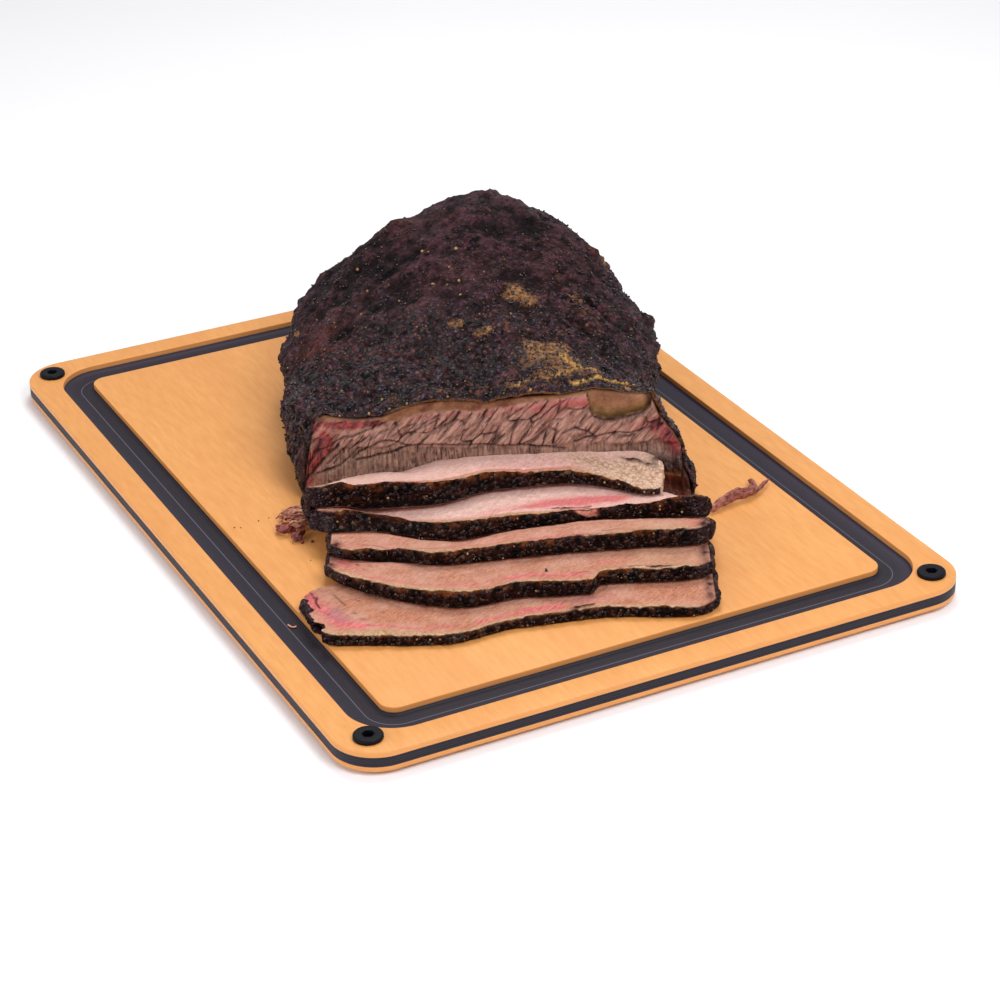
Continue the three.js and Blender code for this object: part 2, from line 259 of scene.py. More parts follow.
# Tan fibre sheet: satin, its fibres lie along the board and mottle it softly; its cut sides are
# darker and more orange, with the pressed layers showing as thin lines.
fibre_tan, tree, shader, place = new_finish("pressed_fibre_tan", Roughness=0.46, Specular_IOR_Level=0.35)
along = add_node(tree, "Mapping", {"Vector": place, "Scale": (1, FIBRE_WIDTH / FIBRE_LENGTH, 1)}).outputs[0]
layers = add_node(tree, "Mapping", {"Vector": place, "Scale": (1, 1, LAYER_LENGTH / LAYER_HEIGHT)}).outputs[0]
fibres, clouds, laminate = (
    add_node(tree, "TexNoise", {"Vector": run, "Scale": scale_of(width), "Detail": detail,
                                "Roughness": crispness}).outputs[0]
    for run, width, detail, crispness in (
        (along, FIBRE_WIDTH, 5, 0.65), (along, FIBRE_CLOUD, 3, 0.5), (layers, LAYER_LENGTH, 3, 0.6)))
upright = add_node(tree, "SeparateXYZ", {0: add_node(tree, "NewGeometry").outputs["Normal"]}).outputs[2]
flat_tone = lay_over(tree, "D08843", [(fibres, 0, 1, 1, "F0AE66"), (clouds, 0.4, 0.75, 0.45, "D58A46")])
side_tone = lay_over(tree, "CE8444", [(laminate, 0, 1, 1, "F2AA62")])
tone = lay_over(tree, side_tone, [(upright, *FACING_UP, 1, flat_tone)])
nap = add_node(tree, "Bump", {"Height": fibres, "Strength": 0.12, "Distance": 0.0003}).outputs[0]
feed(tree, shader, Base_Color=tone, Normal=nap)

# Dark fibre sheet: the same board dyed near black, a little violet; the cutter has left fine pale
# lines along the groove's floor, which follow it round the corners. The floor's outer half, up to
# the rim, is painted lighter: painted light.
fibre_dark, tree, shader, place = new_finish("pressed_fibre_black", Roughness=0.52, Specular_IOR_Level=0.25)
inset = add_node(tree, "Attribute", attribute_name="inset").outputs["Fac"]
height = add_node(tree, "SeparateXYZ", {0: place}).outputs[2]
over_groove, up_side = (add_node(tree, "CombineXYZ", {0: reach}).outputs[0] for reach in (inset, height))
speckle, tool_lines, side_lines = (
    add_node(tree, "TexNoise", {"Vector": run, "Scale": scale, "Detail": detail,
                                "Roughness": crispness}).outputs[0]
    for run, scale, detail, crispness in (
        (place, scale_of(DARK_SPECK), 4, 0.7), (over_groove, 1 / TOOL_MARK, 4, 0.75),
        (up_side, scale_of(SIDE_LAYER), 3, 0.6)))
upright = add_node(tree, "SeparateXYZ", {0: add_node(tree, "NewGeometry").outputs["Normal"]}).outputs[2]
level = add_node(tree, "MapRange", {0: upright, 1: FACING_UP[0], 2: FACING_UP[1]}).outputs[0]
lines = add_node(tree, "Mix", {0: level, 2: side_lines, 3: tool_lines}).outputs[0]
# Painted light: the groove floor is laid lighter from the pale line out to the rim, where it slopes up.
painted_light_outer = add_node(tree, "MapRange", {0: inset, 1: GROOVE_LINE, 2: GROOVE_OUT + 1}).outputs[0]
painted_light_outer = add_node(tree, "Math", {0: painted_light_outer, 1: level}, operation="MULTIPLY").outputs[0]
off_line = add_node(tree, "Math", {0: inset, 1: GROOVE_LINE}, operation="SUBTRACT").outputs[0]
off_line = add_node(tree, "Math", {0: off_line}, operation="ABSOLUTE").outputs[0]
tone = lay_over(tree, "0F0D13", [(speckle, 0, 1, 1, "231F29"), (lines, 0.46, 0.72, 1, "3C3742"),
                                 (painted_light_outer, 0, 1, 0.5, "3E3748"), (off_line, 0.4, 0.1, 0.75, "6A6472")])
scoring = add_node(tree, "Bump", {"Height": lines, "Strength": 0.5, "Distance": 0.0004}).outputs[0]
feed(tree, shader, Base_Color=tone, Normal=scoring)

drill_points = []
drill_faces = []
for x, y in foot_places():
    bow = np.linspace(0, 2 * math.pi, DRILL_SIDES, endpoint=False)
    circle = np.stack([x + FOOT_HOLE * np.cos(bow), y + FOOT_HOLE * np.sin(bow)], 1)
    first = len(drill_points) * 2 * DRILL_SIDES
    drill_faces += [[first + k for k in face] for face in stack_faces(2, DRILL_SIDES)]
    drill_faces.append([first + k for k in range(DRILL_SIDES)][::-1])
    drill_faces.append([first + DRILL_SIDES + k for k in range(DRILL_SIDES)])
    drill_points.append(np.concatenate([at_height(circle, -5), at_height(circle, 20)]))
drill_bit = make_piece("drill_bit", np.concatenate(drill_points), drill_faces, fibre_dark)

base_rings = rounded_slab(BASE_LOW, CORE_LOW, 0, BOARD_CORNER, SANDED_EDGE, SHARP_EDGE)
board_base = sheet_piece("base_sheet", base_rings, fibre_tan)
groove_in = GROOVE_OUT + GROOVE_WIDTH
panel_rings = rounded_slab(TOP_LOW, BOARD_TOP, groove_in, GROOVE_IN_RADIUS, SHARP_EDGE, ARRIS)
panel = sheet_piece("top_panel", panel_rings, fibre_tan)
rim_rings = rounded_slab(TOP_LOW, BOARD_TOP, 0, BOARD_CORNER, SHARP_EDGE, SANDED_EDGE)
for bow in np.linspace(0, math.pi / 2, ROUND_STEPS):
    setback = GROOVE_OUT - ARRIS * (1 - math.sin(bow))
    outline = rounded_outline(setback, GROOVE_OUT_RADIUS + GROOVE_OUT - setback)
    rim_rings.append(at_height(outline, BOARD_TOP - ARRIS * (1 - math.cos(bow))))
rim_rings.append(at_height(rounded_outline(GROOVE_OUT, GROOVE_OUT_RADIUS), TOP_LOW))
rim = sheet_piece("top_rim", rim_rings, fibre_tan, shut=True)

core_rings = rounded_slab(CORE_LOW, TOP_LOW, 0, BOARD_CORNER, SHARP_EDGE, SHARP_EDGE)
core_insets = [0] * len(core_rings)
for share in np.linspace(0, 1, GROOVE_STEPS):
    setback = GROOVE_OUT + GROOVE_WIDTH * share
    from_side = min(share, 1 - share)
    reach = from_side * GROOVE_WIDTH / GROOVE_DISH
    sink = (1 - GROOVE_FALL) * math.sqrt(1 - (1 - min(1, reach)) ** 2) + GROOVE_FALL * from_side * 2
    radius = GROOVE_OUT_RADIUS + (GROOVE_IN_RADIUS - GROOVE_OUT_RADIUS) * share
    core_rings.append(at_height(rounded_outline(setback, radius), TOP_LOW - (TOP_LOW - GROOVE_FLOOR) * sink))
    core_insets.append(setback)
core = sheet_piece("core_sheet", core_rings, fibre_dark)
inset_mark = core.data.attributes.new("inset", "FLOAT", "POINT")
inset_mark.data.foreach_set("value", np.repeat(core_insets, len(core_rings[0])).astype(np.float32))

for sheet_object in (board_base, core, rim):
    drill(sheet_object, drill_bit)
bpy.data.objects.remove(drill_bit)
for sheet_object, node, slot in ((board_base, "board_base", "board_tan"), (core, "board_core", "board_dark"),
                                 (rim, "board_rim", "board_tan"), (panel, "board_panel", "board_tan")):
    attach(sheet_object, "root")
    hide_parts(node)

# ---- Rubber feet ----
# Four soft grommets pressed through the board's corners: a flange above, a shank through the
# sheets and a pad below, moulded in one, with a six-sided hole in the top.
FLANGE, SHANK, FLANGE_SOFT = 7, 4.8, 0.9
FLANGE_TOP = BOARD_TOP + 2.25
SOCKET, SOCKET_SOFT, SOCKET_FLOOR = 2.9, 0.5, BOARD_TOP - 2.75
FOOT_SIDES, PAD_EDGE = 48, 0.3
RUBBER_BLOOM = 2

# Moulded rubber: near black, slightly blue, with a dull bloom of fine dust and wear.
rubber, tree, shader, place = new_finish("moulded_rubber_black", Roughness=0.5, Specular_IOR_Level=0.16)
bloom = add_node(tree, "TexNoise", {"Vector": place, "Scale": scale_of(RUBBER_BLOOM), "Detail": 4,
                                    "Roughness": 0.7}).outputs[0]
grip = add_node(tree, "Bump", {"Height": bloom, "Strength": 0.2, "Distance": 0.0002}).outputs[0]
feed(tree, shader, Base_Color=lay_over(tree, "030308", [(bloom, 0, 1, 1, "0D0E17")]), Normal=grip)

foot_profile = [(FLANGE - FLANGE_SOFT * (1 - math.sin(b)), FLANGE_SOFT * (1 - math.cos(b)))
                for b in np.linspace(0, math.pi / 2, 6)]
foot_profile += [(FLANGE, BASE_LOW - PAD_EDGE), (FLANGE - PAD_EDGE, BASE_LOW), (SHANK, BASE_LOW),
                 (SHANK, BOARD_TOP), (FLANGE - PAD_EDGE, BOARD_TOP), (FLANGE, BOARD_TOP + PAD_EDGE)]
foot_profile += [(FLANGE - FLANGE_SOFT * (1 - math.cos(b)), FLANGE_TOP - FLANGE_SOFT * (1 - math.sin(b)))
                 for b in np.linspace(0, math.pi / 2, 6)]
socket_profile = [(SOCKET + SOCKET_SOFT * (1 - math.sin(b)), FLANGE_TOP - SOCKET_SOFT * (1 - math.cos(b)))
                  for b in np.linspace(0, math.pi / 2, 5)] + [(SOCKET - 0.1, SOCKET_FLOOR)]
around = np.linspace(0, 2 * math.pi, FOOT_SIDES, endpoint=False)
sector = math.pi / 3
hexagon = math.cos(sector / 2) / np.cos((around + sector / 2) % sector - sector / 2)
for number, (x, y) in enumerate(foot_places(), 1):
    rings = []
    for profile, flats in ((foot_profile, np.ones(FOOT_SIDES)), (socket_profile, hexagon)):
        for radius, z in profile:
            rings.append(np.stack([x + radius * flats * np.cos(around), y + radius * flats * np.sin(around),
                                   np.full(FOOT_SIDES, z)], 1))
    foot = sheet_piece(f"rubber_foot_{number}", rings, rubber)
    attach(foot, "root")
    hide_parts(f"foot_{number}")

# ---- Uncut piece: bark ----
# The unsliced end of a smoked brisket. Rub, pepper and rendered fat have dried on it in the
# smoker into a black-brown crust, coarse and glossy near the cut and duller on its far shoulder.
MEAT_TURN = math.radians(-27)
CLEARANCE = 0.3
CUT_AT, TIP_AT = -32, 208
PIECE_LEFT = (-79, -88, -91, -95, -88, -54, -24)
PIECE_RIGHT = (103, 103, 105, 106, 93, 82, 66)
PIECE_CROWN = (56, 61, 70, 77, 82, 88, 87)
CROWN_TILT = (0.055, 0.03, 0, -0.02, -0.03, -0.03, -0.02)
FLARE_LEFT = (4, 3, 1, 0, 0, 0, 0)
FLARE_RIGHT = (20, 13, 5, 0, 0, 0, 0)
WAIST_SHARE = 0.44
NOSE_FROM, NOSE_TIP = 0.7, 0.1
CUT_OUTLINE = [(-79.9, 0.3), (-79.2, 11.4), (-75.8, 32), (-73, 46.7), (-67, 48.7), (-58, 47), (-49, 46),
               (-38, 46.9), (-25, 52.7), (-5, 55.6), (15, 53.9), (33, 56.3), (54, 57.4), (69, 60.4),
               (88, 58.2), (99.5, 57.4), (104, 45.4), (111.6, 35.1), (115.2, 28.7), (116, 17.8),
               (118.9, 12), (121, 0.3)]
CUT_MIDDLE = (15, 22)
RINGS_ALONG, RINGS_NOSE, RING_POINTS, SECTION_POINTS = 176, 40, 440, 1400
LIP, LIP_DEPTH = 1.7, 7
RIGHT_TUCK, FOOT_FORWARD = 9.5, 6.5
PEPPER_WIDTH, CRUMB_WIDTH, DUST_WIDTH, RUB_WIDTH, CRUST_CLOUD = 2.3, 1.35, 1.25, 7.7, 29
# Sizes of the crust's swellings, lumps, knobs, wrinkles, grains, fine grains, crumbs and cracks.
SWELL, LUMP, KNOB, WRINKLE, GRAIN, FINE_GRAIN, CRUMB, CRACK = 34, 13, 8, 4.5, 3.4, 1.9, 3.2, 4.5
NOISE_CELLS, GRAIN_CELLS = 32, 24
# Lumps, notches and flaps of the crust: place (s, d, h), reach and height.
CRUST_LUMPS = [
    ((-36, 146, 78), 9, 3.6), ((-26, 152, 80), 6, 1.4), ((-6, 163, 84), 8, -1.6), ((-48, 132, 74), 4, -2.2),
    ((-64, 100, 62), 4, 2.2), ((-58, 112, 66), 3, -2.0),
    ((16, 176, 84), 6, 3.0), ((30, 168, 82), 8, 2.2), ((48, 157, 75), 4.5, -2.5), ((-45, 128, 74), 5, -2.4),
    ((-52, 120, 72), 5, 1.6), ((60, 152, 68), 5, 1.5), ((103, 88, 41), 4, 3.2), ((107, 70, 35), 3.5, 3.0),
    ((107, 55, 33), 3.5, 3.0), ((-88, 53, 41), 4.5, 2.2), ((-88, 53, 46), 4, -1.6), ((-87, -4, 27), 3.5, 2.4),
    ((-82, -25, 20), 3.5, 2.0), ((-90, 30, 22), 4, 2.0), ((70, 143, 62), 4, 1.5), ((103, 30, 40), 7, 1.6),
    ((-84, 108, 54), 6, 1.8), ((12, 146, 85), 7, 1.2), ((-62, 95, 66), 7, -1.2), ((104, 95, 30), 5, -1.5),
]
# Long marks: points they run through, reach, height.
CRUST_LINES = [
    ([(70, 72, 61), (78, 66, 56), (86, 62, 52), (96, 60, 44)], 1.7, -2.6),
    ([(66, 78, 63), (76, 72, 58), (88, 68, 50), (97, 66, 43)], 2.4, 1.5),
    ([(54, -24, 60), (64, -23, 59), (70, -18, 57), (80, -16, 56), (92, -17, 54)], 1.8, 1.8),
    ([(54, 8, 59), (60, 0, 58), (66, -4, 57), (72, -5, 57)], 1.7, 1.5),
    ([(-60, 120, 66), (-40, 90, 71), (-30, 62, 69)], 5, -0.8),
    ([(30, 150, 80), (52, 120, 72), (72, 100, 62)], 6, -0.9),
    ([(-92, 80, 30), (-88, 40, 28), (-84, 0, 22)], 3, -1.4),
]
FLAP = [((74, 143, 59), 3.2, 4.2), ((79, 143.5, 55.5), 2.6, 4.6), ((83, 143, 52), 2.2, 3.6)]
FLAP_FAT = [((78.5, 143.5, 52.5), (2.4, 3.5, 2.2), 0.9)]
GOLD_SPOTS = [
    ((-88, 71, 46), 4, 0.8), ((0, 36, 67), 3.8, 1.7), ((14, 27, 66), 4.2, 1.9), ((31, 67, 72), 6, 1.05),
    ((38, 58, 69), 5, 1.15), ((28, 61, 71), 4, 1.2), ((62, 68, 63), 6, 0.6), ((67, 60, 60), 5, 0.5),
    ((41, 11, 61), 6.5, 1.9), ((53, 14, 59), 5.5, 1.9), ((46, 2, 60), 7, 1.0), ((59, 3, 58), 5, 0.95),
    ((36, -4, 60), 6, 0.6), ((58, -10, 60), 8, 0.85), ((46, -18, 60), 8, 0.8), ((70, -12, 57), 7, 0.75),
    ((30, -24, 58), 7, 0.6), ((12, -22, 57), 6, 0.5), ((-6, -24, 56), 6, 0.45), ((-30, -24, 55), 7, 0.5),
    ((-12, 8, 61), 5, 0.4), ((26, 30, 64), 5, 0.45), ((-88, 38, 44), 4, 0.5), ((-86, 10, 30), 4, 0.4),
    ((20, 150, 85), 6, 0.35), ((6, 150, 84), 4, 0.45), ((44, 110, 77), 5, 0.4), ((56, 92, 70), 5, 0.5),
]
CRUST_GOLD_LINES = [
    ([(54, 4), (58, -2), (62, -7), (68, -10), (74, -10)], 1.2, 0.9), ([(60, -4), (64, 0)], 0.8, 0.8),
    ([(60, -26), (66, -26), (70, -22), (74, -20), (79, -23), (84, -21), (88, -22), (91, -24)], 0.9, 1.1),
    ([(50, -19), (54, -15), (60, -12), (64, -9)], 1.0, 0.55), ([(30, -25), (35, -22), (40, -24)], 0.9, 0.6),
]
RED_SPOTS = [
    ((-77, 46, 48), 11, 1.0), ((-66, 31, 53), 10, 0.9), ((-70, 60, 54), 9, 0.5), ((-50, 22, 56), 10, 0.5),
    ((30, 50, 68), 14, 0.35), ((10, 5, 61), 12, 0.4), ((50, 80, 72), 14, 0.4), ((70, 50, 60), 12, 0.4),
    ((-30, 140, 76), 14, 0.35), ((60, 120, 68), 14, 0.35), ((75, 20, 56), 10, 0.35),
]


def spline_at(values, share):
    """A smooth curve through evenly spaced values, at each share of its length."""
    values = np.array(values, float)
    place = np.clip(np.asarray(share, float), 0, 1) * (len(values) - 1)
    first = np.floor(place).astype(int)
    w = place - first
    p0, p1, p2, p3 = (values[np.clip(first + k, 0, len(values) - 1)] for k in (-1, 0, 1, 2))
    a, b = (p2 - p0) / 2, (p3 - p1) / 2
    return (2 * p1 - 2 * p2 + a + b) * w ** 3 + (-3 * p1 + 3 * p2 - 2 * a - b) * w ** 2 + a * w + p1


def eased(value, low, high):
    """0 below low, 1 above high, smooth between."""
    share = np.clip((np.asarray(value, float) - low) / (high - low), 0, 1)
    return share * share * (3 - 2 * share)


def grain_noise(points, size, seed):
    """Smooth noise from -1 to 1 whose lumps are about size millimetres."""
    table = np.random.default_rng(seed).random((NOISE_CELLS,) * 3) * 2 - 1
    place = points / size + 100
    cell = np.floor(place).astype(int)
    w = place - cell
    w = w * w * (3 - 2 * w)
    total = np.zeros(len(points))
    for corner in itertools.product((0, 1), repeat=3):
        share = np.abs(1 - np.array(corner) - w).prod(1)
        total += share * table[tuple(((cell + corner) % NOISE_CELLS).T)]
    return total


def crumbly_noise(points, size, seed, octaves=3):
    """Noise with finer and finer lumps on it."""
    return sum(grain_noise(points, size / 2.1 ** k, seed + k) * 0.55 ** k for k in range(octaves))


def drift(points, size, seed, ways=3, noise=grain_noise):
    """A noise of its own for each way that the points can drift."""
    return np.column_stack([noise(points, size, seed + k) for k in range(ways)])


def nearest_grains(points, size, seed):
    """Squared distances, in grain widths, to the nearest grain's middle and to the second nearest."""
    table = np.random.default_rng(seed).random((GRAIN_CELLS,) * 3 + (3,))
    place = points / size + 100
    cell = np.floor(place).astype(int)
    nearest = np.full(len(points), 9.0)
    second = nearest
    for step in itertools.product((-1, 0, 1), repeat=3):
        near = cell + step
        away = ((place - near - table[tuple((near % GRAIN_CELLS).T)]) ** 2).sum(1)
        second = np.minimum(second, np.maximum(nearest, away))
        nearest = np.minimum(nearest, away)
    return nearest, second


def pebbles(points, size, seed):
    """Height of closely packed grains about size millimetres across, 1 on top and 0 between."""
    return np.clip(1 - nearest_grains(points, size, seed)[0], 0, 1)


def bundle_gaps(points, size, seed, crack=0.22):
    """1 along the cracks between grains or bundles of that size, 0 inside them."""
    nearest, second = nearest_grains(points, size, seed)
    return 1 - eased(np.sqrt(second) - np.sqrt(nearest), 0.02, crack)


def spots(points, marks):
    """Sum of soft round marks, each a place, a reach and a strength."""
    total = np.zeros(len(points))
    for place, reach, strength in marks:
        away = ((points - np.array(place)) / np.array(reach)) ** 2
        total += strength * np.exp(-away.sum(1))
    return total


def strokes(points, lines):
    """Sum of soft lines, each its points, a reach and a strength."""
    total = np.zeros(len(points))
    for path, reach, strength in lines:
        path = np.array(path, float)
        away = np.full(len(points), 1e9)
        for a, b in zip(path[:-1], path[1:]):
            leg = b - a
            share = np.clip(((points - a) @ leg) / (leg @ leg), 0, 1)
            away = np.minimum(away, ((points - a - share[:, None] * leg) ** 2).sum(1))
        total += strength * np.exp(-away / reach ** 2)
    return total


def on_board(points):
    """From the meat's own frame (s along the slices, d to the back, h up) to the board's."""
    s, d, h = np.asarray(points, float).T
    cos, sin = math.cos(MEAT_TURN), math.sin(MEAT_TURN)
    return np.column_stack([s * cos - d * sin, s * sin + d * cos, h + BOARD_TOP])


def piece_section(share, angles):
    """One closed section of the uncut piece, share from 0 at the cut to 1 at the tip."""
    d = CUT_AT + (TIP_AT - CUT_AT) * share
    left, right, crown, tilt, flare_left, flare_right = (
        float(spline_at(v, share))
        for v in (PIECE_LEFT, PIECE_RIGHT, PIECE_CROWN, CROWN_TILT, FLARE_LEFT, FLARE_RIGHT))
    closing = max(0, (share - NOSE_FROM) / (1 - NOSE_FROM))
    narrowing = NOSE_TIP + (1 - NOSE_TIP) * math.sqrt(max(0, 1 - closing ** 2.4))
    rounding = float(eased(share, 0, 0.4))
    upper = np.sin(angles) > 1e-9
    side_power = np.where(upper, 0.6 + 0.6 * rounding, 0.15 + 0.25 * rounding)
    across = np.sign(np.cos(angles)) * np.abs(np.cos(angles)) ** side_power
    up = np.sign(np.sin(angles)) * np.abs(np.sin(angles)) ** np.where(upper, 0.6 + 0.6 * rounding, 0.6)
    s = (left + right) / 2 + (right - left) / 2 * narrowing * across
    waist = crown * WAIST_SHARE
    top = waist + (crown + tilt * s - waist) * narrowing ** 0.8 * np.maximum(up, 0)
    h = np.where(upper, top, waist * (1 + 1.12 * up))
    s = s + np.where(across > 0, flare_right, flare_left) * across * (1 - h / crown)
    lump = (1.3 * np.sin(s / 15 + d / 31) * math.sin(d / 19 + 1.1)
            + 0.9 * np.sin(s / 8.5 - h / 13) * np.cos(d / 10.5 + s / 27))
    lump = lump * min(1, share * 24)
    return s + 0.7 * lump * across, np.maximum(CLEARANCE, h + lump * np.maximum(0, up))


def spaced_ring(s, h, count):
    """A ring respaced evenly, with fewer points underneath where nothing shows."""
    s, h = np.append(s, s[0]), np.append(h, h[0])
    legs = np.hypot(np.diff(s), np.diff(h)) * np.where((h[1:] < 1) & (h[:-1] < 1), 0.25, 1) + 1e-9
    run = np.concatenate([[0], np.cumsum(legs)])
    stops = np.linspace(0, run[-1], count, endpoint=False)
    return np.interp(stops, run, s), np.interp(stops, run, h)


def reach_from(middle, s, h, bearings):
    """How far an outline lies from a point inside it, in each bearing."""
    own = np.arctan2(h - middle[1], s - middle[0])
    order = np.argsort(own)
    reach = np.hypot(s - middle[0], h - middle[1])[order]
    return np.interp(bearings, own[order], reach, period=2 * math.pi)


def ring_normals(rings):
    """Outward normals of closed rings of points that follow one another."""
    around = np.roll(rings, -1, 1) - np.roll(rings, 1, 1)
    normals = np.cross(np.gradient(rings, axis=0), around)
    return normals / np.maximum(np.linalg.norm(normals, axis=2, keepdims=True), 1e-9)


def mark(piece, **values):
    """Stores named amounts on a piece's points for its material to use."""
    for name, value in values.items():
        layer = piece.data.attributes.new(name, "FLOAT", "POINT")
        layer.data.foreach_set("value", np.clip(value, 0, 1).astype(np.float32))


def foot_bend(s, h):
    """How far the cut comes forward at the foot of its right end."""
    return FOOT_FORWARD * eased(s, 98, 118) * (1 - eased(h, 8, 32))


angles = np.linspace(-math.pi / 2, 1.5 * math.pi, SECTION_POINTS, endpoint=False)
shares = np.concatenate([
    np.linspace(0, NOSE_FROM, RINGS_ALONG, endpoint=False),
    NOSE_FROM + (1 - NOSE_FROM) * np.sin(np.linspace(0, math.pi / 2, RINGS_NOSE)),
])
outline_s, outline_h = np.array(CUT_OUTLINE).T
first_s, first_h = piece_section(0, angles)
rings = []
for share in shares:
    s, h = piece_section(share, angles)
    bearings = np.arctan2(h - CUT_MIDDLE[1], s - CUT_MIDDLE[0])
    near_cut = 1 - eased(share, 0, 0.16)
    if near_cut > 0:
        own = reach_from(CUT_MIDDLE, first_s, first_h, bearings)
        real = reach_from(CUT_MIDDLE, outline_s, outline_h, bearings)
        change = np.where(h > CLEARANCE * 2, 1 + near_cut * (real / own - 1), 1)
        s = CUT_MIDDLE[0] + (s - CUT_MIDDLE[0]) * change
        h = np.where(h > CLEARANCE * 2, CUT_MIDDLE[1] + (h - CUT_MIDDLE[1]) * change, h)
    tuck = RIGHT_TUCK * float(eased(share, 0, 0.09) * (1 - eased(share, 0.2, 0.5)))
    tucked_from = 12 - 14 * float(eased(share, 0.04, 0.2))
    s = s - tuck * eased(s, 60, 100) * eased(h, tucked_from, tucked_from + 22)
    s, h = spaced_ring(s, h, RING_POINTS)
    rings.append(np.column_stack([s, np.full(RING_POINTS, CUT_AT + (TIP_AT - CUT_AT) * share), h]))
crust = np.array(rings)
outward = ring_normals(crust).reshape(-1, 3)
flat = crust.reshape(-1, 3)

# Relief: swellings and lumps all over, wrinkles where the crust is smooth, grains and cracks where
# it is coarse, knobs down its sides and the marks listed above.
stretched = np.column_stack([flat[:, 0] * 0.8 - flat[:, 1] * 0.6,
                             (flat[:, 0] * 0.6 + flat[:, 1] * 0.8) * 0.3, flat[:, 2]])
near_cut = 1 - eased(flat[:, 1], CUT_AT + 20, CUT_AT + 130)
right_side = eased(flat[:, 0], 10, 90)
coarse = np.clip(0.2 + 0.65 * near_cut + 0.35 * right_side + 0.3 * grain_noise(flat, 30, 23), 0, 1)
calmer = 1 - 0.55 * eased(flat[:, 1], 110, 165)
grains = pebbles(flat + 1.5 * drift(flat, 6, 31), GRAIN, 41) + 0.6 * pebbles(flat, FINE_GRAIN, 43)
gaps = bundle_gaps(flat + 1.2 * drift(flat, 5, 21), CRACK, 45)
sides = 1 - eased(np.abs(outward[:, 2]), 0.35, 0.8)
flap = spots(flat, FLAP)
shaken = flat[:, :2] + 0.6 * drift(flat, 4, 36, 2, crumbly_noise)
mustard = 1.3 * strokes(shaken, CRUST_GOLD_LINES) * eased(flat[:, 2], 40, 46) + spots(flat, FLAP_FAT)
gold = spots(flat, GOLD_SPOTS) + 0.6 * mustard
relief = (1.7 * calmer * (crumbly_noise(flat, SWELL, 51) + crumbly_noise(flat, LUMP, 61))
          + (1.2 - coarse) * crumbly_noise(stretched, WRINKLE, 71)
          + coarse * (grains + 0.75 * crumbly_noise(flat, CRUMB, 81, 2) - 0.7 * gaps - 0.45)
          + 2.2 * sides * np.clip(crumbly_noise(flat, KNOB, 57), 0, 1) ** 1.5
          + spots(flat, CRUST_LUMPS) + strokes(flat, CRUST_LINES)
          + 0.9 * np.clip(gold, 0, 1) * pebbles(flat, 2.3, 47))
upper_side = eased(flat[:, 2], 1, 5)
relief *= upper_side * (0.35 + 0.65 * eased(flat[:, 1], CUT_AT, CUT_AT + 5))
shaped = flat + outward * relief[:, None]
shaped[:, 0] += flap * 0.9
shaped[:, 1] -= foot_bend(flat[:, 0], flat[:, 2]) * (1 - eased(flat[:, 1], CUT_AT, CUT_AT + 30))
shaped[:, 2] = np.maximum(CLEARANCE, shaped[:, 2] + flap * 0.35)
crust = shaped.reshape(crust.shape)

# The crust rolls in over the cut as a thin lip, and closes at the tip.
front = crust[0]
middle_s, middle_h = CUT_MIDDLE
lip_noise = 1 + 0.25 * grain_noise(front, 5, 91)
pull = 1 - LIP * lip_noise / np.maximum(8, np.hypot(front[:, 0] - middle_s, front[:, 2] - middle_h))
lip_rings = []
for inward, forward in ((0.25, -0.5), (0.7, -0.45), (1, 0.1), (1.02, LIP_DEPTH)):
    squeeze = 1 - (1 - pull) * inward
    lip_rings.append(np.column_stack([
        middle_s + (front[:, 0] - middle_s) * squeeze,
        front[:, 1] + forward + 0.35 * grain_noise(front, 3, 95) * (forward < 1),
        np.maximum(CLEARANCE, middle_h + (front[:, 2] - middle_h) * squeeze)]))
tip = crust[-1]
middle_s, _, middle_h = tip.mean(0)
tip_rings = [np.column_stack([middle_s + (tip[:, 0] - middle_s) * k, tip[:, 1] + bulge,
                              np.maximum(CLEARANCE, middle_h + (tip[:, 2] - middle_h) * k)])
             for k, bulge in ((0.8, 1.2), (0.5, 2), (0.2, 2.4))]

# Dried crust: purple black with rusty brown where it is thin, tan where rendered fat and mustard
# have caked, smoother and greyer on its upper shoulder, where less dark grain and painted shade
# are laid; glossy near the cut, where fat has wetted it. Pale grey-violet flecks on a few grains
# are painted glints, and the near black between grains and in the dips is painted shade.
crust_finish, tree, shader, place = new_finish("smoked_crust", Roughness=0.55, Specular_IOR_Level=0.08,
                                                Coat_Roughness=0.14)
marks = {name: add_node(tree, "Attribute", attribute_name=name).outputs["Fac"]
         for name in ("gold", "rust", "wet", "lip", "shaded_hollow", "mustard", "coarse")}
pepper, crumb = (add_node(tree, "TexVoronoi", {"Vector": place, "Scale": scale_of(width)})
                 for width in (PEPPER_WIDTH, CRUMB_WIDTH))
grain_value = add_node(tree, "SeparateXYZ", {0: pepper.outputs[1]}).outputs[0]
crumb_value = add_node(tree, "SeparateXYZ", {0: crumb.outputs[1]}).outputs[1]
dust, rub, cloud = (
    add_node(tree, "TexNoise", {"Vector": place, "Scale": scale_of(width), "Detail": detail,
                                "Roughness": crispness}).outputs[0]
    for width, detail, crispness in ((DUST_WIDTH, 4, 0.7), (RUB_WIDTH, 5, 0.68), (CRUST_CLOUD, 4, 0.6)))
broken = add_node(tree, "MapRange", {0: dust, 1: 0.36, 2: 0.6}).outputs[0]
rusty = add_node(tree, "MapRange", {0: cloud, 1: 0.46, 2: 0.7, 4: 0.32}).outputs[0]
rusty = add_node(tree, "Math", {0: rusty, 1: marks["rust"]}, operation="MAXIMUM").outputs[0]
rusty = add_node(tree, "Math", {0: rusty, 1: broken}, operation="MULTIPLY").outputs[0]
scatter = add_node(tree, "Mix", {0: 0.5, 2: grain_value, 3: crumb_value}).outputs[0]
caked = add_node(tree, "Math", {0: marks["gold"], 1: scatter}, operation="SUBTRACT").outputs[0]
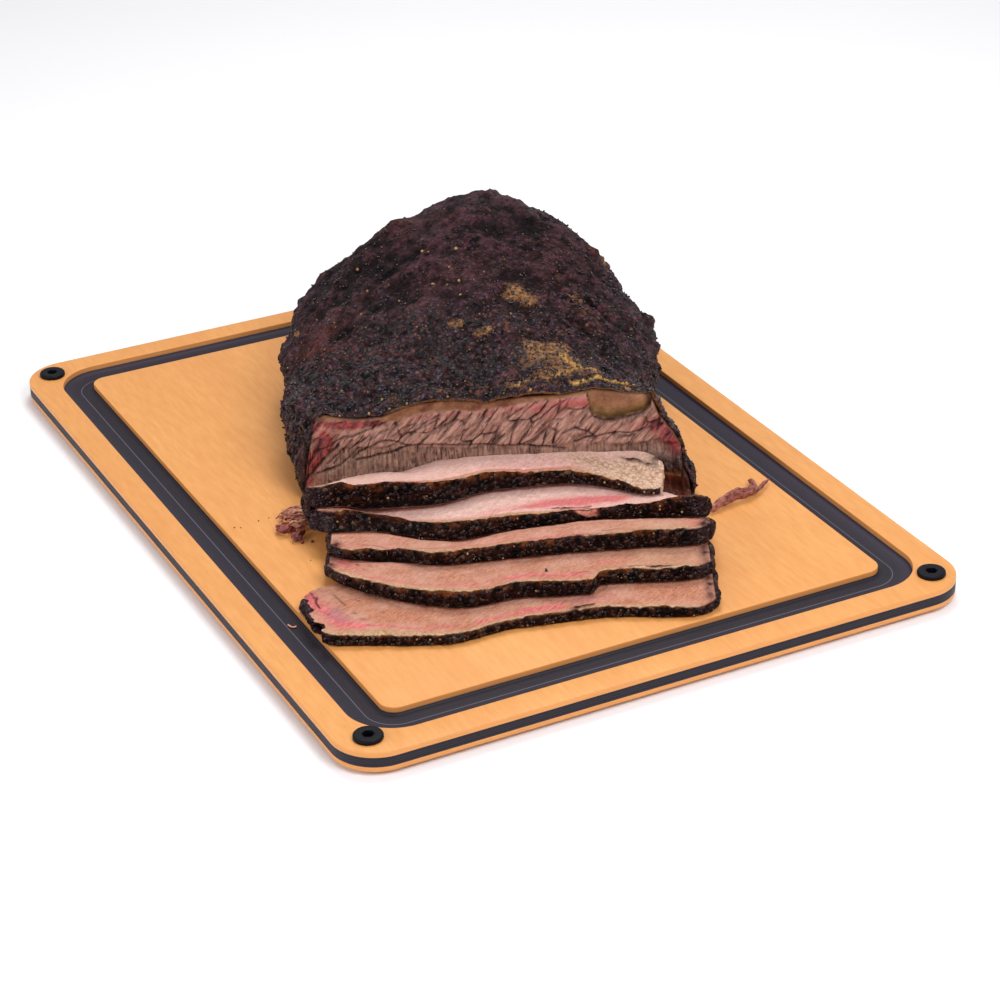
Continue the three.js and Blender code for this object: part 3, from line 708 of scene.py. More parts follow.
clotted = add_node(tree, "MapRange", {0: dust, 1: 0.38, 2: 0.52}).outputs[0]
clotted = add_node(tree, "Math", {0: clotted, 1: marks["mustard"]}, operation="MULTIPLY").outputs[0]
smooth_tone = lay_over(tree, "0D0608", [(rub, 0.4, 0.62, 1, "59383F"), (rusty, 0, 1, 1, "6E3A2C")])
cake_tone = lay_over(tree, "5A3626", [(crumb_value, 0, 1, 1, "BE8C5A")])
lip_tone = lay_over(tree, "40200C", [(broken, 0, 1, 1, "94602A")])
tone = lay_over(tree, smooth_tone, [
    (grain_value, 0.68, 0.74, 0.85, "090507"),
    (crumb_value, 0.93, 0.97, 0.6, "8E6046"),
    # Painted glints: a few crust cells flecked pale grey-violet.
    (crumb_value, 0.11, 0.05, 0.45, "7E6C82"),
    # Painted shade: near black in the low gaps between the pepper grains.
    (pepper.outputs[0], 0.4, 0.75, 0.7, "060304"),
    (marks["coarse"], 0.7, 0.1, 0.7, smooth_tone),
    (caked, -0.1, 0.12, 0.85, cake_tone),
    (clotted, 0, 1, 1, "DCAA58"),
    (marks["lip"], 0, 1, 1, lip_tone),
    # Painted shade: the cracks and dips of the relief laid near black.
    (marks["shaded_hollow"], 0, 1, 0.8, "070405"),
])
glossy = add_node(tree, "MapRange", {0: grain_value, 1: 0.5, 2: 0.6, 4: 0.85}).outputs[0]
glossy = add_node(tree, "Math", {0: glossy, 1: marks["wet"]}, operation="MULTIPLY").outputs[0]
surface = dust
for grit_of, height in ((pepper.outputs[0], -0.9), (rub, 1.6)):
    surface = add_node(tree, "Math", {0: grit_of, 1: height, 2: surface}, operation="MULTIPLY_ADD").outputs[0]
grit = add_node(tree, "Bump", {"Height": surface, "Strength": 1.0, "Distance": 0.0014}).outputs[0]
feed(tree, shader, Base_Color=tone, Coat_Weight=glossy, Normal=grit, Coat_Normal=grit)

all_rings = np.concatenate([np.array(lip_rings[::-1]), crust, np.array(tip_rings)])[::-1]
bark = sheet_piece("brisket_crust", [on_board(ring) for ring in all_rings], crust_finish)
lead = len(tip_rings) * RING_POINTS
tail = len(lip_rings) * RING_POINTS


def over_crust(values, before, after):
    """Values on the crust's rings, carried on over the tip's and the lip's rings."""
    on_rings = np.reshape(values, (-1, RING_POINTS))[::-1].ravel()
    return np.concatenate([np.full(lead, before), on_rings, np.zeros(tail) + after])


# Painted shade: how deep the crust's cracks and dips lie, for darkening them.
painted_hollow_shade = 0.5 * (gaps * coarse - relief)
amber_lip = 0.7 + 0.3 * grain_noise(front, 9, 98)
amber_lip *= eased(front[:, 2], 44, 52) * eased(front[:, 0], -50, -30)
bark_marks = {
    "gold": (gold, 0, 0.2), "coarse": (coarse, 0.2, 1), "mustard": (mustard, 0, 0), "shaded_hollow": (painted_hollow_shade, 0, 0),
    "rust": (spots(flat, RED_SPOTS) + 0.8 * flap, 0, 0),
    "wet": (near_cut * 0.8 + 0.4 * grain_noise(flat, 20, 97), 0, 0.7),
    "lip": (np.zeros(len(flat)), 0, np.tile(amber_lip, len(lip_rings))),
}
mark(bark, **{name: over_crust(*values) for name, values in bark_marks.items()})
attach(bark, "root")
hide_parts("brisket_block")

# ---- Uncut piece: cut face ----
# Where the last slice came away: grey-brown lean in diagonal bundles over upright fibres, a cap of
# fat under the crust, a lobe of fat at the right and red, wet meat at both ends.
FACE_COLUMNS, FACE_ROWS = 430, 104
FACE_INSET, UNDER_CRUST, FACE_FORWARD = 1.1, 0.6, 0.3
UPPER_SEAMS, LOWER_SEAMS = 120, 130
SLANT = 50
STRAND_WIDTH, STRAND_LENGTH, JUICE_SPOT, MUSCLE_CLOUD = 1.6, 12, 1, 11
SLANT_BUNDLE, HUNG_BUNDLE, THIN_BUNDLE = 6, 2.4, 2
CAP_AT = (-80, -72, -64, -58, -42, -36, -28, -18, -8, 4, 16, 28, 40, 55, 66, 100, 122)
CAP_THICK = (0.6, 3.2, 3.0, 1.0, 1.4, 3.0, 6.2, 5.4, 5.2, 6.0, 4.8, 3.8, 2.6, 2.0, 1.5, 1.5, 0.8)
LOBE_AT = (66.5, 68, 70, 75, 78, 84, 89, 95, 98, 101)
LOBE_UNDER = (56, 49, 45, 43.2, 43, 44, 45, 47, 50, 57)
# Seams: cracks between the bundles, each its points, reach and strength, painted dark as shade.
SHADED_SEAMS = [
    ([(-72, 27), (-70, 28), (-62, 32), (-57, 36), (-53, 36), (-47, 38), (-42, 40), (-38, 42), (-32, 45)],
     0.6, 0.9),
    ([(-51, 22), (-45, 23), (-39, 25), (-33, 26), (-28, 28), (-24, 30)], 0.7, 1.1),
    ([(-53, 23), (-50, 26), (-45, 29), (-40, 32), (-35, 33), (-31, 32), (-28, 31), (-24, 30)], 0.6, 1.0),
    ([(-24, 30), (-12, 30.4), (4, 29.6), (11, 30), (18, 29), (28, 29.3), (37, 28), (46, 28), (55, 26)],
     0.7, 0.9),
    ([(-35, 35), (-32, 40), (-29, 44)], 0.55, 0.8), ([(-32, 35), (-27, 40), (-22, 42)], 0.5, 0.7),
    ([(-23, 36), (-18, 41), (-14, 44), (-8, 47)], 0.6, 0.9), ([(-19, 39), (-14, 42), (-8, 45)], 0.5, 0.7),
    ([(-9, 33), (-5, 38), (-1, 43), (2, 48)], 0.6, 0.9), ([(-3, 32), (1, 35)], 0.5, 0.7),
    ([(7, 35), (11, 40), (14, 44), (16, 50)], 0.6, 0.9), ([(26, 44), (30, 47), (34, 50)], 0.6, 0.8),
    ([(38, 44), (41, 46), (43, 48), (45, 51)], 0.6, 0.9), ([(62, 38), (64, 42), (66, 45)], 0.6, 0.8),
    ([(54, 35), (60, 38), (64, 37), (67, 36), (70, 33)], 0.6, 0.9),
    ([(69, 32), (73, 34), (83, 35), (89, 35), (93, 36), (99, 38)], 0.6, 0.9),
    ([(44, 40), (48, 42), (53, 43)], 0.5, 0.7), ([(60, 30), (65, 32), (70, 33)], 0.6, 0.8),
    ([(-74, 15), (-69, 21), (-65, 26), (-60, 31)], 0.6, 0.9), ([(-66, 20), (-60, 26), (-53, 34)], 0.6, 0.9),
    ([(-63, 20), (-57, 28), (-53, 32)], 0.5, 0.7), ([(-68, 16), (-60, 19), (-54, 24), (-50, 29)], 0.6, 0.9),
    ([(-77, 12), (-73, 17), (-68, 23)], 0.7, 0.9), ([(-76, 20), (-71, 27), (-69, 34)], 0.6, 0.8),
    ([(-79, 11), (-71, 15), (-63, 17)], 0.8, 0.8),
]
DEEP_RED = [((-71.5, 38), (4.5, 9), 1.0), ((-73.5, 24), (4, 9), 0.95), ((-68, 45.5), (7, 3), 0.8),
            ((-55, 43.5), (10, 2.6), 0.9), ((-45, 43.5), (9, 2.4), 0.9), ((-66, 30), (4.5, 8), 0.5),
            ((-77, 12), (4, 6), 0.7), ((-38, 45), (5, 1.4), 0.6), ((108, 34), (5, 5), 0.8),
            ((112, 27), (3.5, 4), 0.9), ((103, 38), (4, 3), 0.7), ((113, 9), (4, 5), 0.9)]
# The pocket at the cut's right foot: wet red meat, laid darker there as painted shade.
SHADED_HOLLOW = [((106, 6), (9, 8), 1.0), ((116, 4), (4, 8), 0.9), ((99, 13), (4, 4), 0.7)]
AMBER_RIM = [([(95, 17), (101, 14.5), (108, 12), (113, 13)], 1.1, 0.9)]
PINK_BUNDLES = [((56, 52.5), (11, 3.2), 1.0), ((66, 53.5), (4, 2.6), 0.9), ((41, 50.5), (4.2, 2.6), 0.95),
                ((29, 50), (5, 2.2), 0.7), ((16, 48.5), (6, 2), 0.55), ((0, 47.5), (7, 1.8), 0.45),
                ((-14, 46.5), (7, 1.8), 0.4), ((-24, 45.5), (5, 1.6), 0.35), ((100, 40), (5, 2.5), 0.8),
                ((106, 34), (4.5, 3.5), 0.9), ((93, 38.5), (5, 2), 0.5), ((48, 46), (7, 2), 0.4),
                ((-78, 9), (5, 5), 0.6)]
CRUST_PATCHES = [((107, 18), (7, 4), 1.3), ((99, 21), (5, 3), 0.9), ((115, 20), (4, 6), 1.3),
                 ((118, 10), (2.5, 8), 1.2), ((98, 44), (4, 2), 0.4), ((98, 15), (4, 3), 0.7)]
RAISED = [((56, 52.5), (10, 3), 0.9), ((66.5, 53.5), (3.5, 2.4), 0.8), ((41, 50.5), (3.6, 2.2), 0.7),
          ((-38, 28), (11, 4), 0.7), ((106, 33), (4, 4), 1.2), ((112, 27), (3, 4), 1.2),
          ((114, 18), (3.5, 5), 1.8), ((110, 5), (8, 5), -1.0), ((-71, 38), (5, 8), -0.5),
          ((100, 21), (5, 3), 0.8), ((88, 52), (9, 5), 0.9)]

# Cooked lean: dull grey-pink brown, slightly moist, its fibres showing as fine darker lines.
# Fat is tan and waxy, wet meat deep red, and everything glistens a little where juice sits. The
# cracks between bundles and the gap under the lobe are laid near black as painted shade.
cut_meat, tree, shader, place = new_finish("smoked_lean_and_fat", Roughness=0.5, Specular_IOR_Level=0.2,
                                           Coat_Roughness=0.22)
marks = {name: add_node(tree, "Attribute", attribute_name=name).outputs["Fac"]
         for name in ("cap", "lobe", "red", "pink", "shaded_seam", "crusted", "strand", "rind", "juice", "plump",
                      "shaded_hollow", "amber")}
side = add_node(tree, "Mapping", {"Vector": place, "Rotation": (0, 0, -MEAT_TURN)}).outputs[0]
leaning = add_node(tree, "Mapping", {"Vector": side, "Rotation": (0, math.radians(SLANT - 90), 0)}).outputs[0]
strand_shape = (1, 1, STRAND_WIDTH / STRAND_LENGTH)
slant, hang = (add_node(tree, "Mapping", {"Vector": way, "Scale": strand_shape}).outputs[0]
               for way in (leaning, side))
slant_fibre, hung_fibre, fine, cloud = (
    add_node(tree, "TexNoise", {"Vector": run, "Scale": scale_of(width), "Detail": 4,
                                "Roughness": crispness}).outputs[0]
    for run, width, crispness in ((slant, STRAND_WIDTH, 0.65), (hang, STRAND_WIDTH, 0.65),
                                  (place, JUICE_SPOT, 0.7), (place, MUSCLE_CLOUD, 0.6)))
fibre = add_node(tree, "Mix", {0: marks["strand"], 2: slant_fibre, 3: hung_fibre}).outputs[0]
upper = lay_over(tree, "724A3C", [(fibre, 0.34, 0.62, 1, "CC9C8A")])
lower = lay_over(tree, "573C32", [(fibre, 0.34, 0.62, 1, "B08874")])
pink_tone = lay_over(tree, "A43E42", [(fibre, 0, 1, 1, "D67A72")])
wet_red = lay_over(tree, "380A0E", [(fibre, 0.36, 0.62, 1, "AA403E")])
cap_tone = lay_over(tree, "6A3C26", [(cloud, 0.35, 0.68, 1, "AC7A54")])
plump_tone = lay_over(tree, "784B32", [(cloud, 0.35, 0.68, 1, "AC7852")])
lobe_tone = lay_over(tree, "584220", [(cloud, 0.35, 0.68, 1, "8A6C3C"),
                                      (marks["plump"], 0.2, 1, 1, plump_tone)])
# Partly painted shade: the pocket's red is laid darker than the wet red elsewhere.
shaded_hollow_tone = lay_over(tree, "260A06", [(cloud, 0.42, 0.62, 1, "7A2A1E")])
crusted_tone = lay_over(tree, "160A0A", [(fine, 0.4, 0.62, 1, "5E3E34")])
tone = lay_over(tree, upper, [
    (marks["strand"], 0, 1, 1, lower),
    (cloud, 0.46, 0.7, 0.35, "BE937E"),
    (marks["pink"], 0, 1, 0.9, pink_tone),
    (marks["red"], 0, 1, 1, wet_red),
    (marks["cap"], 0, 1, 1, cap_tone),
    (marks["lobe"], 0, 1, 1, lobe_tone),
    (marks["rind"], 0, 1, 1, "3E200C"),
    (marks["shaded_hollow"], 0, 1, 1, shaded_hollow_tone),
    (marks["crusted"], 0, 1, 1, crusted_tone),
    # Painted shade: near black in the cracks and under the lobe.
    (marks["shaded_seam"], 0, 1, 0.92, "2A120D"),
    (marks["amber"], 0, 1, 1, "94602C"),
])
glossy = add_node(tree, "MapRange", {0: fine, 1: 0.42, 2: 0.56}).outputs[0]
glossy = add_node(tree, "Math", {0: glossy, 1: marks["juice"]}, operation="MULTIPLY").outputs[0]
surface = add_node(tree, "Math", {0: fibre, 1: 0.7, 2: fine}, operation="MULTIPLY_ADD").outputs[0]
grain = add_node(tree, "Bump", {"Height": surface, "Strength": 0.8, "Distance": 0.001}).outputs[0]
feed(tree, shader, Base_Color=tone, Coat_Weight=glossy, Normal=grain, Coat_Normal=grain)

s_line = np.linspace(outline_s[0] + FACE_INSET, outline_s[-1] - FACE_INSET, FACE_COLUMNS)
top_line = np.min([np.interp(s_line + step, outline_s, outline_h)
                   for step in (-FACE_INSET, 0, FACE_INSET)], axis=0) - UNDER_CRUST
top_line = np.maximum(top_line, CLEARANCE + 0.5)
face_s = np.repeat(s_line, FACE_ROWS)
face_h = (CLEARANCE + (top_line[:, None] - CLEARANCE) * np.linspace(1, 0, FACE_ROWS)).ravel()
spot = np.column_stack([face_s, face_h])
solid = np.column_stack([face_s, np.full(len(face_s), CUT_AT), face_h])
wobble = grain_noise(solid, 7, 111)
ragged = grain_noise(solid, 2.5, 112)
below_top = np.repeat(top_line, FACE_ROWS) - face_h
cap_depth = np.interp(face_s, CAP_AT, CAP_THICK) * (1 + 0.25 * wobble) + 0.3 * ragged
cap = 1 - eased(below_top - cap_depth, -0.5, 0.5)
lobe_edge = face_h - np.interp(face_s, LOBE_AT, LOBE_UNDER, left=90, right=90)
lobe = eased(lobe_edge + 0.9 * wobble + 0.5 * ragged, -0.8, 0.8)
lobe_round = eased(lobe_edge, 0, 3.5)

# Short seams strewn between the listed ones: leaning above, nearly upright below. Like them, they
# are cracks painted dark as shade.
seam_rng = np.random.default_rng(17)
small_shaded_seams = []
for _ in range(UPPER_SEAMS):
    start = np.array([seam_rng.uniform(-66, 66), seam_rng.uniform(31, 46)])
    lean = math.radians(seam_rng.uniform(38, 66))
    leg = seam_rng.uniform(2.5, 7)
    middle = start + leg / 2 * np.array([math.cos(lean), math.sin(lean)]) + seam_rng.uniform(-0.5, 0.5, 2)
    end = start + leg * np.array([math.cos(lean + 0.2), math.sin(lean + 0.2)])
    small_shaded_seams.append(([start, middle, end], 0.4, seam_rng.uniform(0.25, 0.7)))
for _ in range(LOWER_SEAMS):
    start = np.array([seam_rng.uniform(-60, 92), seam_rng.uniform(14, 26)])
    end = start + (seam_rng.uniform(-0.6, 0.9), seam_rng.uniform(2.5, 7))
    small_shaded_seams.append(([start, end], 0.35, seam_rng.uniform(0.2, 0.6)))

# Bundles: long lumps that lie along the fibres, with creases between them that are painted dark as
# shade.
slant = math.radians(SLANT)
along = face_s * math.cos(slant) + face_h * math.sin(slant) + 1.5 * wobble
across = -face_s * math.sin(slant) + face_h * math.cos(slant) + 1.2 * wobble
nothing = np.zeros(len(face_s))
slant_place = np.column_stack([across, 0.3 * along, nothing])
thin_place = np.column_stack([across, 0.2 * along, nothing])
hung_place = np.column_stack([face_s + 0.8 * wobble, 0.16 * face_h, nothing])
slant_bundle = pebbles(slant_place, SLANT_BUNDLE, 121)
hung_bundle = pebbles(hung_place, HUNG_BUNDLE, 123)
shaded_seam = np.clip(strokes(spot + 0.35 * np.column_stack([ragged, wobble]), SHADED_SEAMS), 0, 1.2)
fine_shaded_seam = np.clip(strokes(spot, small_shaded_seams), 0, 0.8)
hung = 1 - eased(face_h + 1.2 * wobble, 27.5, 30.5)
shaded_crease = (1 - hung) * (1.2 * bundle_gaps(slant_place, SLANT_BUNDLE, 121, 0.09)
                       + 0.25 * bundle_gaps(thin_place, THIN_BUNDLE, 122))
shaded_crease += hung * 0.6 * bundle_gaps(hung_place, HUNG_BUNDLE, 123, 0.15)
shaded_crease *= np.clip(0.75 + 0.8 * crumbly_noise(solid, 8, 124), 0.1, 1.3)
# Painted shade along the narrow gap under the lobe, which is also sunk.
shaded_gap_under_lobe = np.exp(-((lobe_edge + 1) / 0.9) ** 2) * (face_s > 68) * (face_s < 99)
lean_only = (1 - cap) * (1 - lobe)
streak = crumbly_noise(thin_place, 2.6, 125)
red = np.clip(2.1 * spots(spot, DEEP_RED) * (0.85 + 0.9 * streak), 0, 1)
red *= 1 - 0.6 * cap * (face_s < 90)
pink = np.clip(spots(spot, PINK_BUNDLES), 0, 1) * lean_only
rind = np.clip(np.exp(-(below_top / 0.8) ** 2) + (lobe * eased(face_s, 94, 98)), 0, 1)
crusted = np.clip(spots(spot, CRUST_PATCHES) * (0.9 + 0.4 * ragged), 0, 1)
shaded_hollow = np.clip(spots(spot, SHADED_HOLLOW) * (0.9 + 0.3 * ragged), 0, 1)
amber_rim = np.clip(strokes(spot + 0.5 * np.column_stack([ragged, wobble]), AMBER_RIM), 0, 1)
lean_only = lean_only * (1 - shaded_hollow)
bulge = (0.45 * crumbly_noise(solid, 9, 113) + 0.28 * crumbly_noise(solid, 2.2, 114, 2)
         + lean_only * ((1 - hung) * 1.9 * slant_bundle + hung * 0.6 * hung_bundle
                        - 0.8 * shaded_crease - 0.95 * shaded_seam - 0.7 * fine_shaded_seam)
         + spots(spot, RAISED) - 0.4 * cap * lean_only + 1.1 * lobe * lobe_round - 1.6 * shaded_gap_under_lobe
         + 0.9 * crusted * ragged + 2.0 * crusted * pebbles(solid, 5, 116) + 0.9 * amber_rim
         + 0.5 * np.clip(crusted + red * 0.5, 0, 1) * pebbles(solid, 2.6, 115))
edge_ease = np.minimum(1, np.minimum(below_top, face_h) / 1.5)
front_d = CUT_AT + FACE_FORWARD - bulge * (0.3 + 0.7 * edge_ease) - foot_bend(face_s, face_h)
front = np.column_stack([face_s, front_d, face_h]).reshape(FACE_COLUMNS, FACE_ROWS, 3)
back = front[:, ::-6].copy()
back[:, :, 1] = CUT_AT + LIP_DEPTH - 0.5
face_rings = np.concatenate([front, back], 1)
cut_face = sheet_piece("brisket_cut_face", [on_board(ring) for ring in face_rings], cut_meat)
behind = back.shape[1]


def over_face(values):
    """Values on the cut face's grid, and none on the hidden back of the slab."""
    grid = np.asarray(values).reshape(FACE_COLUMNS, FACE_ROWS)
    return np.concatenate([grid, np.zeros((FACE_COLUMNS, behind))], 1).ravel()


face_marks = {
    "cap": cap * (1 - lobe), "lobe": lobe, "red": red, "pink": pink, "crusted": crusted, "strand": hung,
    "rind": rind, "shaded_hollow": shaded_hollow, "amber": amber_rim, "plump": eased(lobe_edge + 0.5 * wobble, 0, 9),
    "shaded_seam": (0.8 * shaded_seam + 0.5 * fine_shaded_seam + 0.6 * shaded_crease) * lean_only + shaded_gap_under_lobe,
    "juice": 0.4 + 0.6 * np.clip(red + pink + crusted + shaded_hollow, 0, 1),
}
mark(cut_face, **{name: over_face(values) for name, values in face_marks.items()})
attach(cut_face, "root")
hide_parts("brisket_block")

# ---- Slices ----
# Five slices cut by hand, lying one on another like fallen books. Each has a pale pink face with a
# line of fat and a pink smoke line next to its edge of crust, which is glossy and nearly black.
SLICE_COLUMNS = 330
FACE_STEPS, REAR_STEPS, UNDER_STEPS, EDGE_STEPS, END_STEPS = 56, 5, 22, 17, 9
SLICE_GAP = 1
BRIDGE_SLOPE, BRIDGE_BEND = 0.55, 4
NAP_WIDTH, NAP_LENGTH, MOIST_SPOT, SLICE_CLOUD = 1.25, 3.7, 0.9, 14
GLAZE_PATCH, RUB_GRAIN = 4.2, 1.7
NAP_TURN = math.radians(50)
SLICE_SEEDS, SEEDS_EACH = 200, 20
CUT_SLICES = [
    {"ends": (-72, 102), "edge": (-81, -77, -75.5, -70.5, -58, -54, -50.5, -56, -66),
     "crust": (11.5, 13.5, 14, 12.6, 10.4, 8.3, 7, 5, 2.5), "rear": (7, 8),
     "prop": ((18, 17.8, 17.6, 16.4, 16, 16.2, 15.5, 14.8, 14),
              (3.5, 5, 9, 13.6, 15.6, 16.2, 16.4, 16.6, 19)),
     "width": (30, 34, 40.5, 38.2, 25.7, 21.7, 18.2, 23.7, 33.7),
     "lean": (2, 1, 0, 0, 0), "skirt": (4.5, 4), "hangs": 0.5, "right_skirt": (2.5, 2), "fat_end": True},
    {"ends": (-69, 123), "width": (39.5, 39.5, 38, 28),
     "edge": (-85, -83, -88.5, -88.5, -83, -81, -79, -80, -88),
     "crust": (7.5, 9, 7.5, 7, 12), "rear": (6, 6), "prop": ((5, 6.5, 8, 8, 8.7), (4, 5.5, 7, 6.5, 3.5)),
     "lean": (10, 6, 1, 0, 0), "flap": (67, 7), "skirt": (3.5, 4), "right_skirt": (3, 3)},
    {"ends": (-61, 124), "width": (48, 50, 50),
     "edge": (-110, -112, -127, -126, -123, -118.5, -116.5, -114, -115),
     "crust": (6, 7, 8.5, 9, 10), "rear": (4.7, 5), "skirt": (2, 3), "right_skirt": (3, 3)},
    {"ends": (-61.5, 123), "width": (50, 50, 50),
     "edge": (-131, -143, -153, -156.5, -149, -148, -144.5, -143.5, -142.5), "step": (68, 7.5),
     "crust": (6, 8, 8.5, 7.5, 7.5), "rear": (4.7, 5), "skirt": (2.5, 2), "right_skirt": (2.5, 2.5)},
    {"ends": (-75, 124), "width": (53, 56, 56), "skew": 14, "torn": 3.8,
     "edge": (-181, -180, -180.5, -179, -168, -162.5, -158, -159, -160),
     "crust": (6.2, 4.8, 5.2, 5.6, 5.2), "rear": (4.7, 5), "skirt": (2, 2), "right_skirt": (2.5, 2.5)},
]
# Marks on each slice as (s, distance from its crust edge): smoke lines, pink and other patches.
SMOKE_LINES = [
    [([(-71, 4), (-55, 3.6), (-43, 3.6), (-30, 3.4)], 1.1, 1.0),
     ([(-30, 3), (-12, 3.2), (12, 4.2), (37, 3.8), (52, 3.6), (65, 4.6)], 1.0, 0.7)],
    [([(-71, 3), (-60, 3.2), (-50, 3.4)], 1.1, 0.9), ([(-46, 5), (-35, 5), (-20, 4)], 0.9, 0.4),
     ([(-20, 4), (0, 4.5), (20, 5.5), (36, 8)], 0.9, 0.35)],
    [([(-60, 6), (-51, 5.3), (-27, 5), (-8, 6.5), (12, 4.2), (37, 3)], 0.9, 0.6),
     ([(37, 3.2), (51, 3.2), (64, 2.8)], 1.7, 1.0), ([(64, 2.8), (80, 3), (96, 3.2)], 0.7, 0.5)],
    [([(-60, 5), (-42, 4.5), (-28, 6.5), (-15, 6.5), (-1, 7.5), (10, 8.5)], 1.2, 0.85),
     ([(10, 8.5), (26, 7.2)], 1.0, 0.5), ([(26, 7.2), (36, 7.3), (46, 6.8), (54, 6.2), (60, 6)], 2.0, 1.0)],
    [([(-45, 9.5), (-31, 9.5), (-15, 7.2), (-2, 7)], 1.1, 0.9), ([(-2, 7), (13, 5.6), (24, 4.6)], 0.8, 0.45),
     ([(12, 6), (24, 5), (36, 4.2)], 1.2, 0.85), ([(33, 6.2), (43, 5.8), (50, 5.2)], 2.0, 1.0),
     ([(-73, 42), (-71, 39), (-67, 30), (-61, 24), (-54, 14), (-44, 7)], 4.2, 1.0)],
]
PINK_PATCHES = [
    [((40, 9), (30, 3), 0.25)],
    [((38, 10), (9, 2.6), 0.9), ((52, 13), (12, 4.6), 1.2), ((66, 14), (12, 4.8), 1.2),
     ((80, 15), (8, 4), 1.1), ((20, 8), (10, 2), 0.5), ((62, 5), (9, 2.5), 0.5)],
    [((0, 10), (40, 4), 0.2), ((116, 14), (6, 12), 0.5)],
    [((-54, 22), (5, 6), 0.95), ((-51, 13), (5, 5), 0.5), ((75, 10), (14, 4), 0.3)],
    [((-70, 34), (5, 6), 0.7), ((62, 9), (14, 3), 0.4), ((-56, 10), (8, 4), 0.35)],
]
FAT_PATCHES = [
    [((78, 8), (16, 9), 0.9), ((92, 9), (10, 12), 1.0), ((99, 14), (5, 16), 1.0), ((64, 12), (10, 6), 0.5)],
    [((103, 6.5), (7, 2.2), 0.9), ((113, 5), (8, 2), 0.9), ((-66, 2), (5, 2), 0.5)],
    [((-10, 3), (22, 2.2), 0.5), ((100, 6), (20, 5), 0.35)],
    [((-50, 3), (12, 2.5), 0.7), ((-15, 3.4), (14, 2.6), 0.7), ((100, 12), (20, 9), 0.35)],
    [((-62, 5), (7, 4), 0.7), ((-40, 3.5), (12, 2.5), 0.7), ((-22, 3), (14, 2.4), 0.7)],
]
DARK_BITS = [
    [((87, 18.6), (4, 1.0), 1.0), ((92, 19.6), (4, 1.0), 1.0), ((97, 18.2), (2, 1.2), 0.9),
     ((101, 24), (3, 6), 0.8)],
    [((55, 5.5), (8, 0.8), 1.0), ((119, 14), (5, 12), 0.9), ((114, 2), (8, 3), 1.0),
     ((66, 3), (5, 0.8), 0.7)],
    [((121, 5), (3, 5), 0.7), ((123, 18), (3, 16), 0.9), ((-59, 4), (3, 6), 0.9),
     ((67, 1.6), (12, 0.5), 0.5)],
    [((-60, 10), (2.4, 6), 0.9), ((-61, 28), (2.4, 9), 0.9), ((96, 2.6), (9, 0.6), 0.9),
     ((121, 20), (3, 20), 0.8), ((-47, 14.6), (1.2, 0.8), 0.8), ((-41, 15.3), (1.2, 0.8), 0.8),
     ((-34, 20.9), (1.2, 0.7), 0.8)],
    [((-73, 30), (2.4, 20), 0.9), ((60, 2.4), (5, 1.6), 0.9), ((-47, 21.3), (1.6, 1), 0.6),
     ((-43, 15.4), (1.8, 1), 0.6), ((-60, 20.8), (1.2, 1), 0.7), ((-34, 22.3), (1.2, 1), 0.6),
     ((122, 28), (2.5, 28), 0.8)],
]
DARK_SLITS = [
    [], [([(48, 5.3), (58, 6.2), (67, 6.8)], 0.6, 1.0), ([(52, 4.2), (56, 4.6)], 0.5, 0.8)],
    [([(-46, 5.2), (-30, 5.0)], 0.4, 0.5), ([(72, 5.5), (82, 6.5)], 0.5, 0.6)],
    [([(-55, 12), (-50, 14)], 0.5, 0.7), ([(84, 3.4), (104, 3.2)], 0.5, 0.7),
     ([(56, 8.5), (64, 9.5)], 0.5, 0.5)],
    [([(-66, 38), (-66, 32), (-64, 27)], 0.6, 1.0), ([(-69, 42), (-67, 37)], 0.5, 0.9),
     ([(-58, 39), (-52, 29)], 0.5, 0.7), ([(-50, 36), (-45, 33)], 0.5, 0.5),
     ([(58, 3.4), (66, 4.4)], 0.9, 1.0)],
]
# Painted light: how much paler each slice's lean is laid; it also whitens the first slice's fat end.
PALENESS_AND_LIGHT = (1, 1, 0.15, 0.08, 0)
FACE_GRAINS = [(2, (-18, -95.5)), (2, (-16.6, -95.2)), (3, (44, -136.5))]
GREY_PATCHES = [[], [], [], [],
                [((-56, 22), (4, 5), 0.6), ((-51, 16), (4, 3), 0.45), ((62, 10), (12, 2), 0.4)]]


def share_along(number, s):
    """0 at a slice's left end and 1 at its right end."""
    low_end, high_end = CUT_SLICES[number]["ends"]
    return (s - low_end) / (high_end - low_end)


def edge_step(number, s):
    """A slice's crust edge can jump back where the knife was moved."""
    at, back_by = CUT_SLICES[number].get("step", (0, 0))
    return back_by * eased(s, at - 2.5, at + 2.5)


def edge_of(number, s):
    """Where a slice's crust edge runs."""
    return spline_at(CUT_SLICES[number]["edge"], share_along(number, s)) + edge_step(number, s)


def width_of(number, s):
    """How far a slice's rear edge lies behind its crust edge."""
    return spline_at(CUT_SLICES[number]["width"], share_along(number, s)) - edge_step(number, s)


def back_share(number, s, d):
    """0 at a slice's crust edge and 1 at its rear edge."""
    return np.clip((d - edge_of(number, s)) / width_of(number, s), 0, 1)


def slice_thickness(number, s, d):
    """Cut by hand, a slice is thicker along its crust."""
    left, right = CUT_SLICES[number]["rear"]
    at_crust = spline_at(CUT_SLICES[number]["crust"], share_along(number, s))
    at_rear = left + (right - left) * np.clip(share_along(number, s), 0, 1)
    return at_crust + (at_rear - at_crust) * back_share(number, s, d)


